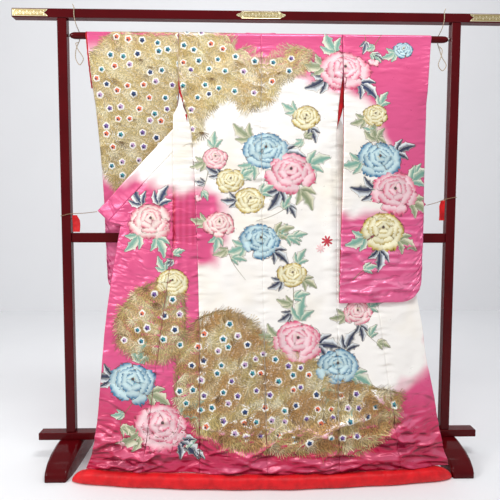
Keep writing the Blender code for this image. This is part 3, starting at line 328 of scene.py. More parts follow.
def paired(outer: Array, inner: Array, uv: Array, ring: bool = False) -> Shell:
    """Join two grids of points, with one UV map, into one closed wall along their edges."""
    rows, columns = outer.shape[:2]
    half = rows * columns
    front = grid_faces(rows, columns, ring)
    index = np.arange(half).reshape(rows, columns)
    if ring:
        index = np.concatenate([index, index[:1]])
        rims = [index[:, 0], index[::-1, -1]]
    else:
        rims = [np.concatenate([index[:, 0], index[-1, 1:], index[-2::-1, -1], index[0, -2::-1]])]
    edge = np.concatenate([np.stack([rim[:-1], rim[1:], rim[1:] + half, rim[:-1] + half], axis=-1)
                           for rim in rims])
    look = np.concatenate([np.zeros(len(front)), np.ones(len(front)), np.zeros(len(edge))])
    points = np.concatenate([outer.reshape(-1, 3), inner.reshape(-1, 3)])
    return Shell(points, np.concatenate([front, front[:, ::-1] + half, edge]), look,
                 np.tile(uv.reshape(-1, 2), (2, 1)))


def tube_along(path: Array, radius: Relief, sides: int) -> Shell:
    """Carry a round section along a path on a frame that never twists, and close its two ends.

    Args:
        path: Points of the middle line.
        radius: Radius as a function of the run along the path and of the angle.
        sides: Points round the section.

    Returns:
        A closed shell whose UV map runs along the path and round it.
    """
    along = np.gradient(path, axis=0)
    along /= np.linalg.norm(along, axis=1, keepdims=True)
    side = np.zeros_like(path)
    guess = np.cross(along[0], [0.31, 0.77, 0.55])
    for step in range(len(path)):
        guess = guess - along[step] * (guess @ along[step])
        guess = guess / np.linalg.norm(guess)
        side[step] = guess
    up = np.cross(along, side)
    run = runs(path)
    angle = np.linspace(0.0, 2 * np.pi, sides, endpoint=False)
    reach = radius(run[:, None], angle)[..., None]
    ring = np.cos(angle)[None, :, None] * side[:, None] + np.sin(angle)[None, :, None] * up[:, None]
    points = np.concatenate([(path[:, None] + ring * reach).reshape(-1, 3), path[:1], path[-1:]])
    uv = joined(run[:, None], angle / (2 * np.pi)).reshape(-1, 2)
    uv = np.concatenate([uv, [[0.0, 0.0]], [[run[-1], 0.0]]])
    return Shell(points, tube_faces(len(path), sides), None, uv)


def loft(sections: Array, girth: float = 0.0) -> Shell:
    """Skin closed sections, each with an even number of points, and close both ends with fans.

    Args:
        sections: Stations x points x 3.
        girth: Length round the section for the UV map; 0 takes the first section's own.

    Returns:
        A closed shell; its UV map runs along the stations and round the section.
    """
    count, sides = sections.shape[:2]
    centres = sections.mean(axis=1)
    run = runs(centres)
    points = np.concatenate([sections.reshape(-1, 3), centres[:1], centres[-1:]])
    around = girth or float(np.linalg.norm(np.diff(sections[0], axis=0), axis=1).sum())
    uv = joined(run[:, None], around * np.arange(sides) / sides)
    uv = np.concatenate([uv.reshape(-1, 2), [[0.0, 0.0]], [[run[-1], 0.0]]])
    return Shell(points, tube_faces(count, sides), None, uv)


# ---------------------------------------------------------------- shader building
def add_node(tree: bpy.types.NodeTree, kind: str, settings: dict[str, Any], inputs: dict[Any, Any],
             output: Any = 0) -> "Sock":
    """Add a node of a kind, with its settings made first and then its inputs set or linked.

    Args:
        tree: Node tree.
        kind: Node type.
        settings: Node properties by name.
        inputs: Values or Socks by socket name or number.
        output: Name or number of the output that is wanted.

    Returns:
        That output.
    """
    node = tree.nodes.new(kind)
    for key, value in settings.items():
        setattr(node, key, value)
    for key, value in inputs.items():
        plug(tree, node.inputs[key], value)
    return Sock(tree, node.outputs[output])


def plug(tree: bpy.types.NodeTree, socket: bpy.types.NodeSocket, value: Any) -> None:
    """Link a Sock to a socket, or set the socket's value; a colour gets its alpha."""
    if isinstance(value, Sock):
        tree.links.new(value.socket, socket)
    else:
        socket.default_value = (*value, 1.0) if socket.type == "RGBA" else value


class Sock:
    """A shader socket that takes part in Python expressions; each operation adds a Math node."""

    def __init__(self, tree: bpy.types.NodeTree, socket: bpy.types.NodeSocket) -> None:
        """Wrap a socket of a node tree."""
        self.tree = tree
        self.socket = socket

    def _math(self, operation: str, *values: Any) -> "Sock":
        """Add a Math node over values, each a number or a Sock."""
        return add_node(self.tree, "ShaderNodeMath", {"operation": operation}, dict(enumerate(values)))

    def __add__(self, other: Any) -> "Sock":
        """Return self + other."""
        return self._math("ADD", self, other)

    def __sub__(self, other: Any) -> "Sock":
        """Return self - other."""
        return self._math("SUBTRACT", self, other)

    def __rsub__(self, other: Any) -> "Sock":
        """Return other - self."""
        return self._math("SUBTRACT", other, self)

    def __mul__(self, other: Any) -> "Sock":
        """Return self * other."""
        return self._math("MULTIPLY", self, other)

    __radd__ = __add__
    __rmul__ = __mul__

    def step(self, low: float, high: float) -> "Sock":
        """Smooth step of this value from 0 at low to 1 at high."""
        return add_node(self.tree, "ShaderNodeMapRange", {"interpolation_type": "SMOOTHSTEP"},
                        {"Value": self, "From Min": low, "From Max": high}, "Result")


class Brush:
    """Builds one material: its nodes come from node(), its sums from Sock, its colours from Mix."""

    def __init__(self, name: str) -> None:
        """Start an empty material with a Principled BSDF."""
        self.material = bpy.data.materials.new(name)
        self.material.use_nodes = True
        self.tree = self.material.node_tree
        self.shader = self.tree.nodes["Principled BSDF"]

    def node(self, kind: str, settings: Optional[dict[str, Any]] = None,
             inputs: Optional[dict[Any, Any]] = None, output: Any = 0) -> Sock:
        """Add a node of a kind to this material."""
        return add_node(self.tree, kind, settings or {}, inputs or {}, output)

    def places(self) -> Sock:
        """Return Object coordinates."""
        return self.node("ShaderNodeTexCoord", output="Object")

    def scaled(self, where: Sock, *scale: float) -> Sock:
        """Return coordinates scaled along each axis."""
        return self.node("ShaderNodeMapping", inputs={"Vector": where, "Scale": scale})

    def flat(self, across: float, along: float) -> Sock:
        """Return the UV map, which is in metres, scaled across and along."""
        return self.scaled(self.node("ShaderNodeUVMap", {"uv_map": "UVMap"}, output="UV"), across, along, 1.0)

    def noise(self, where: Sock, scale: float, detail: float = 2.0) -> Sock:
        """Return noise from 0 to 1."""
        return self.node("ShaderNodeTexNoise", inputs={"Vector": where, "Scale": scale, "Detail": detail})

    def attribute(self, name: str, output: str = "Fac") -> Sock:
        """Return one of the mesh's own attributes."""
        return self.node("ShaderNodeAttribute", {"attribute_name": name}, output=output)

    def mix(self, share: Any, first: Any, second: Any, blend: str = "MIX") -> Sock:
        """Mix two colours by a share."""
        return self.node("ShaderNodeMix", {"data_type": "RGBA", "blend_type": blend},
                         {0: share, 6: first, 7: second}, 2)

    def bump(self, height: Sock, distance: float, strength: float = 1.0) -> None:
        """Feed a height, in shares of a distance in metres, to the shader's normal."""
        result = self.node("ShaderNodeBump", inputs={"Height": height, "Distance": distance,
                                                     "Strength": strength}, output="Normal")
        plug(self.tree, self.shader.inputs["Normal"], result)

    def finish(self, **sockets: Any) -> Material:
        """Set or link the shader's own sockets, named with _ for a space, and return the material."""
        for key, value in sockets.items():
            plug(self.tree, self.shader.inputs[key.replace("_", " ")], value)
        return self.material


# ---------------------------------------------------------------- finishes
@dataclass(frozen=True)
class Satin:
    """Silk satin, dyed from rose pink to white by the mesh's own dye attribute, with painted shade and
    painted highlights mixed in by a slope attribute.
    """

    pink: Colour = linear(224, 88, 140)
    deep: Colour = linear(188, 4, 64)
    white: Colour = linear(252, 249, 243)
    cream: Colour = linear(248, 240, 222)
    # The next three colours are painted light: a painted shade for the pink, a painted highlight for the pink
    # and a painted shade for the white.
    painted_shade_pink: Colour = linear(104, 2, 36)
    gleam: Colour = linear(250, 166, 202)
    painted_shade_grey: Colour = linear(206, 198, 184)
    roughness: float = 0.3

    def make(self) -> Material:
        """Return the material: brushed dye edges, painted shade and painted highlights in its colour, long
        silk floats and fine puckers in its bump.
        """
        brush = Brush("silk_satin_dyed_painted_light")
        where = brush.places()
        cloud = brush.noise(where, 14.0, 3.0)
        bristle = brush.noise(where, 75.0)
        dye = brush.attribute("dye") + (cloud - 0.5) * 0.12 + (bristle - 0.5) * 0.05
        # The deep attribute deepens the pink towards the hem; on the left front's pleat it also carries
        # painted shade.
        tone = brush.attribute("deep") * 0.8 + brush.noise(where, 3.5, 1.0).step(0.35, 0.8) * 0.2
        # Painted light: the slope attribute gives painted shade where the cloth faces down, darkening the
        # pink and greying the white, and a painted highlight where the cloth faces up.
        gleam = brush.attribute("gleam")
        dark, bright = 1.0 - gleam.step(0.02, 0.48), gleam.step(0.62, 1.0)
        pink = brush.mix(dark * 0.8, brush.mix(tone, self.pink, self.deep), self.painted_shade_pink)
        pink = brush.mix(bright * (0.42 - tone * 0.26), pink, self.gleam)
        white = brush.mix(brush.noise(where, 5.0).step(0.45, 0.8), self.white, self.cream)
        colour = brush.mix(dye.step(0.12, 0.88), pink, brush.mix(dark * 0.6, white, self.painted_shade_grey))
        floats = brush.noise(brush.flat(2400.0, 160.0), 1.0, 1.0)
        ripple = brush.noise(brush.flat(26.0, 170.0), 1.0)
        drawn = brush.noise(brush.flat(7.0, 17.0), 1.0)
        crease = drawn.step(0.4, 0.5) * (1.0 - drawn.step(0.5, 0.6))
        drag = crease * brush.attribute("slack") * (2.4 - 1.6 * brush.attribute("dye"))
        height = floats * 0.08 + ripple * (0.08 + 0.8 * brush.attribute("pucker")) - drag
        brush.bump(height, 0.002, 0.9)
        rough = self.roughness + (brush.noise(where, 40.0) - 0.5) * 0.12
        return brush.finish(Base_Color=colour, Roughness=rough, Metallic=0.16, Specular_IOR_Level=0.6)


@dataclass(frozen=True)
class PlainSilk:
    """Plain dyed silk: the lining, the padded hem and the ribbons."""

    name: str
    colour: Colour
    shade: Colour
    roughness: float
    threads: float = 900.0

    def make(self) -> Material:
        """Return the material, with a fine crossed weave and slightly uneven dye."""
        brush = Brush(self.name)
        where = brush.places()
        colour = brush.mix(brush.noise(where, 30.0, 3.0).step(0.35, 0.7), self.colour, self.shade)
        warp = brush.noise(brush.flat(self.threads, self.threads / 8), 1.0, 1.0)
        weft = brush.noise(brush.flat(self.threads / 8, self.threads), 1.0, 1.0)
        brush.bump((warp + weft) * 0.5, 0.0002, 0.5)
        rough = self.roughness + (brush.noise(where, 60.0) - 0.5) * 0.14
        return brush.finish(Base_Color=colour, Roughness=rough, Sheen_Weight=0.04, Specular_IOR_Level=0.3)


@dataclass(frozen=True)
class Stitching:
    """Embroidery thread, coloured by the mesh's own stitch attribute: silk floss or couched gold."""

    name: str
    metallic: float
    roughness: float
    thread: float

    def make(self) -> Material:
        """Return the material, with parallel threads across the patch in its tone and its bump."""
        brush = Brush(self.name)
        threads = brush.node("ShaderNodeTexWave", {"bands_direction": "X"},
                             {"Vector": brush.flat(1.0, 0.08), "Scale": 0.314 / self.thread,
                              "Distortion": 1.5, "Detail": 1.0}, output="Fac")
        uneven = brush.noise(brush.places(), 260.0, 1.0)
        tone = 0.8 + threads * 0.14 + uneven * 0.12
        colour = brush.mix(1.0, brush.attribute("stitch", "Color"), tone, "MULTIPLY")
        brush.bump(threads, self.thread * 0.4, 0.5)
        return brush.finish(Base_Color=colour, Roughness=self.roughness + uneven * 0.12,
                            Metallic=self.metallic, Sheen_Weight=0.1)


@dataclass(frozen=True)
class Lacquer:
    """Dark red gloss lacquer, with the faint orange peel and the rubbed patches of a used stand."""

    colour: Colour = linear(92, 8, 14)
    dark: Colour = linear(64, 5, 10)

    def make(self) -> Material:
        """Return the material."""
        brush = Brush("red_lacquer")
        where = brush.places()
        colour = brush.mix(brush.noise(where, 7.0, 3.0), self.colour, self.dark)
        brush.bump(brush.noise(where, 240.0, 1.0), 0.00012, 0.35)
        rubbed = brush.noise(where, 18.0, 4.0)
        return brush.finish(Base_Color=colour, Roughness=0.16 + rubbed.step(0.4, 0.8) * 0.12,
                            Specular_IOR_Level=0.12, Coat_Weight=0.03, Coat_Roughness=0.08)


@dataclass(frozen=True)
class Metal:
    """Gilt or bare metal, duller where its relief attribute is low."""

    name: str
    bright: Colour
    dull: Colour
    roughness: float

    def make(self) -> Material:
        """Return the material, with fine scratches along its length."""
        brush = Brush(self.name)
        where = brush.places()
        tarnish = brush.noise(where, 160.0, 3.0)
        worn = (brush.attribute("relief") * 0.75 + tarnish * 0.5).step(0.25, 0.75)
        brush.bump(brush.noise(brush.scaled(where, 40.0, 900.0, 900.0), 1.0), 0.00006, 0.4)
        return brush.finish(Base_Color=brush.mix(worn, self.dull, self.bright),
                            Roughness=self.roughness + tarnish * 0.2, Metallic=1.0)


@dataclass(frozen=True)
class Twine:
    """Twisted natural cord, its strands shown by the run of its UV map."""

    name: str
    light: Colour
    dark: Colour
    pitch: float = 0.0045

    def make(self) -> Material:
        """Return the material: slanted strands in colour and bump, with loose fibres."""
        brush = Brush(self.name)
        strands = brush.node("ShaderNodeTexWave", {"bands_direction": "DIAGONAL"},
                             {"Vector": brush.flat(1.0 / self.pitch * 0.628, 0.628), "Scale": 0.5,
                              "Distortion": 0.6}, output="Fac")
        fibre = brush.noise(brush.places(), 900.0)
        colour = brush.mix(strands * 0.6 + fibre * 0.4, self.dark, self.light)
        brush.bump(strands * 0.8 + fibre * 0.3, 0.0005, 0.7)
        return brush.finish(Base_Color=colour, Roughness=0.85)


def made(finish: Any) -> Any:
    """A palette entry that makes its finish when the palette is made."""
    return field(default_factory=finish.make)


@dataclass
class Palette:
    """Every finish of the robe and the stand, made once."""

    satin: Material = made(Satin())
    lining: Material = made(PlainSilk("lining_red_silk", linear(190, 6, 20), linear(150, 2, 12), 0.5))
    hem: Material = made(PlainSilk("padded_hem_silk", linear(224, 20, 30), linear(198, 12, 24), 0.5, 1100.0))
    ribbon: Material = made(PlainSilk("ribbon_silk", linear(214, 20, 26), linear(176, 10, 18), 0.55, 700.0))
    floss: Material = made(Stitching("silk_floss", 0.0, 0.42, 0.0007))
    gold: Material = made(Stitching("gold_thread", 0.55, 0.36, 0.0005))
    lacquer: Material = made(Lacquer())
    gilt: Material = made(Metal("gilt_metal", linear(246, 240, 206), linear(188, 168, 114), 0.28))
    steel: Material = made(Metal("turned_steel", linear(160, 158, 154), linear(120, 118, 114), 0.3))
    twine: Material = made(Twine("natural_twine", linear(206, 190, 164), linear(138, 116, 88)))
    tie: Material = made(Twine("tie_cord", linear(172, 138, 104), linear(96, 66, 46), 0.0036))


# ---------------------------------------------------------------- the face of the robe
@dataclass(frozen=True)
class Fold:
    """A soft ridge in the face of the skirt, from one end to the other."""

    x_from: float
    z_from: float
    x_to: float
    z_to: float
    width: float
    lift: float

    def height(self, x: Array, z: Array) -> Array:
        """A bell across the fold, tapered to nothing at its two ends by a squared sine."""
        run_x, run_z = self.x_to - self.x_from, self.z_to - self.z_from
        length = float(np.linalg.norm([run_x, run_z]))
        along = ((x - self.x_from) * run_x + (z - self.z_from) * run_z) / length ** 2
        away = ((x - self.x_from) * run_z - (z - self.z_from) * run_x) / length
        taper = np.sin(np.pi * np.clip((along + 0.15) / 1.3, 0.0, 1.0)) ** 2
        return self.lift * taper * bell(away, self.width)


MAIN_FOLDS = tuple(Fold(*row) for row in (
    (0.38, 0.37, 0.56, 0.215, 0.022, 0.012), (0.3, 0.3, 0.43, 0.16, 0.02, 0.007),
    (0.56, 0.25, 0.655, 0.12, 0.02, 0.007), (0.06, 0.33, 0.17, 0.15, 0.026, 0.008),
    (-0.02, 0.3, -0.06, 0.11, 0.024, 0.007), (0.25, 0.22, 0.262, 0.08, 0.02, 0.008),
    (-0.19, 0.13, 0.06, 0.09, 0.018, 0.011), (0.08, 0.12, 0.3, 0.085, 0.018, 0.01),
    (-0.56, 0.11, -0.3, 0.085, 0.018, 0.009), (-0.6, 0.2, -0.44, 0.14, 0.022, 0.007),
    (0.36, 0.11, 0.62, 0.095, 0.018, 0.009), (0.42, 0.19, 0.6, 0.165, 0.018, 0.006),
    (-0.215, 0.72, -0.205, 0.42, 0.02, 0.004), (0.268, 1.15, 0.262, 0.6, 0.022, 0.008)))


def hem_creases(count: int, seed: int, scale: float) -> tuple[Fold, ...]:
    """Draw the creases that gather along the hem, nearly level, from a seeded table."""
    creases = []
    for place, height, size, slope in steady(count, seed):
        x = -0.6 + 1.27 * place
        z = 0.058 + 0.165 * height ** 1.5
        reach = (0.03 + 0.09 * size) * scale
        rise = (slope - 0.5) * 1.1 * reach
        creases.append(Fold(x - reach, z - rise, x + reach, z + rise, (0.0042 + 0.006 * size) * scale,
                            (0.0042 + 0.0052 * slope) * scale))
    return tuple(creases)


SMALL_FOLDS = hem_creases(84, 11, 1.0) + hem_creases(24, 23, 1.8) + tuple(Fold(*row) for row in (
    (-0.318, 1.08, -0.314, 0.84, 0.006, 0.005), (-0.275, 1.065, -0.235, 0.95, 0.008, 0.004),
    (-0.262, 0.99, -0.225, 0.87, 0.007, 0.0035), (-0.19, 1.05, -0.165, 0.96, 0.008, 0.0024),
    (-0.52, 1.04, -0.44, 0.9, 0.009, 0.003), (-0.56, 0.88, -0.48, 0.76, 0.009, 0.003),
    (0.33, 0.4, 0.66, 0.09, 0.013, 0.011), (0.4, 0.19, 0.69, 0.13, 0.012, 0.009),
    (0.45, 0.26, 0.56, 0.09, 0.011, 0.008), (-0.25, 0.19, -0.06, 0.105, 0.014, 0.012),
    (0.395, 0.352, 0.47, 0.27, 0.009, 0.005), (0.47, 0.3, 0.6, 0.17, 0.009, 0.006),
    (0.34, 0.3, 0.395, 0.205, 0.01, 0.004), (0.56, 0.2, 0.67, 0.15, 0.008, 0.0045),
    (0.59, 0.33, 0.645, 0.23, 0.01, 0.0035), (0.15, 0.25, 0.215, 0.12, 0.01, 0.0045),
    (0.01, 0.24, 0.045, 0.11, 0.01, 0.004), (-0.12, 0.26, -0.18, 0.11, 0.01, 0.0045),
    (-0.3, 0.25, -0.35, 0.11, 0.011, 0.004), (-0.56, 0.33, -0.48, 0.24, 0.01, 0.0032),
    (-0.23, 0.98, -0.15, 0.88, 0.012, 0.0022), (-0.31, 0.9, -0.318, 0.76, 0.008, 0.003),
    (-0.29, 0.86, -0.262, 0.64, 0.012, 0.0026), (-0.2, 1.06, -0.12, 1.0, 0.01, 0.0018),
    (0.262, 1.3, 0.268, 0.98, 0.01, 0.002), (0.12, 1.64, 0.24, 1.56, 0.014, 0.0022),
    (0.06, 1.63, 0.13, 1.54, 0.013, 0.0018), (0.17, 1.655, 0.215, 1.56, 0.012, 0.002)))


@dataclass
class Drape:
    """The face of the robe: how deep its cloth hangs at each place, as seen from behind the robe."""

    hem_front: float = 0.24
    hem_bow: float = 0.115
    hem_middle: float = 0.02
    pull: float = 0.06
    pull_half_width: float = 0.62
    pull_z: float = 1.0
    pull_spread: float = 0.38
    pucker_lift: float = 0.00095
    seams: tuple[Line, ...] = (MIDDLE, BACK_LEFT, BACK_RIGHT, OVERLAP_LEFT, OVERLAP_RIGHT)

    def setback(self, x: Array) -> Array:
        """Plan line of the hem: furthest forward at mid width, set back as the square of x."""
        return -self.hem_front + self.hem_bow * (x - self.hem_middle) ** 2

    def main(self, x: Array, z: Array) -> Array:
        """Depth of the plain face: a slant from rod to hem, drawn back by the ties, with main folds."""
        fallen = np.clip((ROD_AXIS - z) / (ROD_AXIS - HEM_Z), 0.0, 1.0)
        eased = np.maximum(fallen - 0.02 * (1 - np.exp(-fallen / 0.02)), 0.0) / 0.98
        slant = -DRAPE_RADIUS + (self.setback(x) + DRAPE_RADIUS) * eased
        side = np.clip(np.abs(x) / self.pull_half_width, 0.0, 1.1) ** 2
        drawn = self.pull * side * bell(z - self.pull_z, self.pull_spread)
        ripple = 0.0035 * np.sin(x * 21.0 + 0.7) * ease(0.35, 0.9, fallen)
        lifted = sum(fold.height(x, z) for fold in MAIN_FOLDS)
        return slant + drawn * ease(0.0, 0.25, fallen) + ripple - lifted * ease(0.0, 0.2, fallen)

    def near_seam(self, x: Array, z: Array, reach: float = 0.034) -> Array:
        """How near each place is to a seam: the highest of the bells across the seams, 0 to 1."""
        return np.max([bell(x - seam.at(z), reach) for seam in self.seams], axis=0)

    def fine(self, x: Array, z: Array) -> Array:
        """Small relief towards the viewer: seam puckers, seam lines, soft waves and narrow folds."""
        turn = (z + 0.004 * waves(x, z, 5, 0.2, 0.06, 5)) * 2 * np.pi
        pucker = (np.sin(turn / 0.033) + 0.8 * np.sin(turn / 0.0225 + 1.3)
                  + 0.5 * np.sin(turn / 0.051 + x * 9.0))
        soft = (0.0016 * waves(x, z, 7, 0.26, 0.075, 12) + 0.0006 * waves(x * 0.45, z, 9, 0.07, 0.026, 12)
                + 0.0012 * ease(0.75, 0.1, z) * waves(x, z * 0.6, 13, 0.11, 0.045, 12))
        drag = bell(waves(x * 0.62, z, 15, 0.34, 0.11, 10), 0.26)
        soft = soft + drag * (0.0007 + 0.0038 * ease(0.5, 0.12, z))
        small = sum(fold.height(x, z) for fold in SMALL_FOLDS)
        raised = pucker * self.near_seam(x, z) * self.pucker_lift + soft + small
        return raised * ease(1.672, 1.6, z) - self.near_seam(x, z, 0.0032) * 0.0009

    def depth(self, x: Array, z: Array) -> Array:
        """Depth of the dressed face."""
        return self.main(x, z) - self.fine(x, z)

    def points(self, x: Array, z: Array, lift: Any = 0.0, tucked: bool = False) -> Array:
        """Points on the face at x, z, lifted towards the viewer or tucked in behind the sleeve."""
        depth = self.depth(x, z) - lift
        return joined(x, depth + tuck_behind(x, z) if tucked else depth, z)


def swelling(share: Array) -> Array:
    """Shape of a pleat's top layer beyond the straight line from its seam, 0, to its edge, 1."""
    return 1 - (1 - share) ** 3 - share


def tuck_behind(x: Array, z: Array) -> Array:
    """How far the right front lies behind the face, to leave room for the hanging sleeve."""
    beside = ease(0.285, 0.335, x)
    return (0.0065 + 0.03 * ease(0.95, 1.33, z)) * beside * ease(0.6, 0.72, z)


def over_rod(drop: Array, side: int) -> tuple[Array, Array]:
    """Depth and height at a drop below the shoulder line, round the rod; side -1 front, +1 rear."""
    angle = np.clip(drop, 0, QUARTER) / DRAPE_RADIUS
    return (side * DRAPE_RADIUS * np.sin(angle),
            ROD_AXIS + DRAPE_RADIUS * np.cos(angle) - np.maximum(drop - QUARTER, 0))


# ---------------------------------------------------------------- dye
BODY_WHITE: Outline = (
    (-0.33, 1.7), (-0.19, 1.7), (-0.165, 1.635), (-0.06, 1.585), (0.06, 1.56), (0.151, 1.525),
    (0.25, 1.48), (0.325, 1.452), (0.42, 1.42), (0.64, 1.05), (0.64, 0.7), (0.648, 0.415), (0.541, 0.351),
    (0.44, 0.305), (0.371, 0.243), (0.327, 0.2), (0.139, 0.205), (-0.044, 0.205), (-0.208, 0.205),
    (-0.246, 0.307), (-0.281, 0.56), (-0.291, 0.788), (-0.33, 0.8))
BODY_PINK: Outline = (
    (-0.36, 1.086), (-0.259, 1.082), (-0.172, 1.072), (-0.142, 1.03), (-0.13, 0.988), (-0.136, 0.894),
    (-0.176, 0.812), (-0.284, 0.793), (-0.36, 0.79))
FRONT_WHITE: Outline = (
    (-0.24, 1.7), (-0.24, 1.086), (-0.29, 1.076), (-0.335, 1.078), (-0.4, 1.1), (-0.48, 1.128),
    (-0.53, 1.122), (-0.62, 1.175), (-0.33, 1.46), (-0.33, 1.7))
RIGHT_SLEEVE_WHITE: Outline = (
    (0.3, 1.464), (0.33, 1.462), (0.428, 1.413), (0.494, 1.241), (0.545, 1.087), (0.52, 1.03),
    (0.481, 1.001), (0.4, 0.99), (0.27, 0.985))
LEFT_SLEEVE_WHITE: Outline = (
    (-0.665, 1.61), (-0.56, 1.645), (-0.3, 1.65), (-0.29, 1.335), (-0.29, 1.11), (-0.4, 1.09),
    (-0.56, 1.101), (-0.64, 1.133))


def signed_distance(outline: Outline, x: Array, z: Array) -> Array:
    """Distance from each place to a closed outline, counted positive inside it.

    Args:
        outline: Corners of the closed outline.
        x: First coordinate of the places.
        z: Second coordinate.

    Returns:
        The least distance to the sides, with its sign from the number of sides crossed.
    """
    corners = np.array(outline)
    ends = np.roll(corners, -1, axis=0)
    nearest = np.full(np.broadcast(x, z).shape, 1e9)
    crossed = np.zeros(nearest.shape, int)
    for (ax, az), (bx, bz) in zip(corners, ends):
        run_x, run_z = bx - ax, bz - az
        share = np.clip(((x - ax) * run_x + (z - az) * run_z) / (run_x ** 2 + run_z ** 2), 0.0, 1.0)
        nearest = np.minimum(nearest, np.hypot(x - ax - share * run_x, z - az - share * run_z))
        if abs(run_z) > 1e-9:
            between = (z < max(az, bz)) & (z >= min(az, bz))
            crossed += between & (x < ax + (z - az) / run_z * run_x)
    return np.where(crossed % 2 == 1, nearest, -nearest)


class Cloth(Enum):
    """Parts of the robe's dyed cloth, each by the outline of the white in it."""

    BODY = BODY_WHITE
    LEFT_FRONT = FRONT_WHITE
    LEFT_SLEEVE = LEFT_SLEEVE_WHITE
    RIGHT_SLEEVE = RIGHT_SLEEVE_WHITE


def dye_of(part: Cloth, x: Array, z: Array, band: float = 0.09) -> Array:
    """Share of white in the dye, 0 to 1, rising across a band about 0.5 at each outline."""
    inside = signed_distance(part.value, x, z)
    if part is Cloth.BODY:
        inside = np.minimum(inside, -signed_distance(BODY_PINK, x, z))
    wander = 0.01 * waves(x, z, 21, 0.16, 0.05, 8)
    return np.clip(0.5 + (inside + wander) / band, 0.0, 1.0)


def satin_values(**values: Array) -> dict[str, Array]:
    """The satin's attributes for both sides of a wall."""
    return {name: np.tile(value, 2) for name, value in values.items()}


def gleam_of(relief: Relief, x: Array, z: Array, step: float = 0.003) -> Array:
    """Painted light of the satin, 0 to 1, from the slope of the relief: painted shade where the relief leans
    out over its foot, painted highlight where it leans back.
    """
    return np.clip(0.5 - 0.85 * (relief(x, z + step) - relief(x, z - step)) / (2 * step), 0.0, 1.0)


# ---------------------------------------------------------------- body panels
@dataclass
class SilkPiece:
    """A finished piece of the robe and the size that its cloth was cut to."""

    item: Item
    flat: Pair
    held: str
    rests_on: tuple[str, ...]
    area: Optional[float] = None
    work: tuple[str, ...] = ()


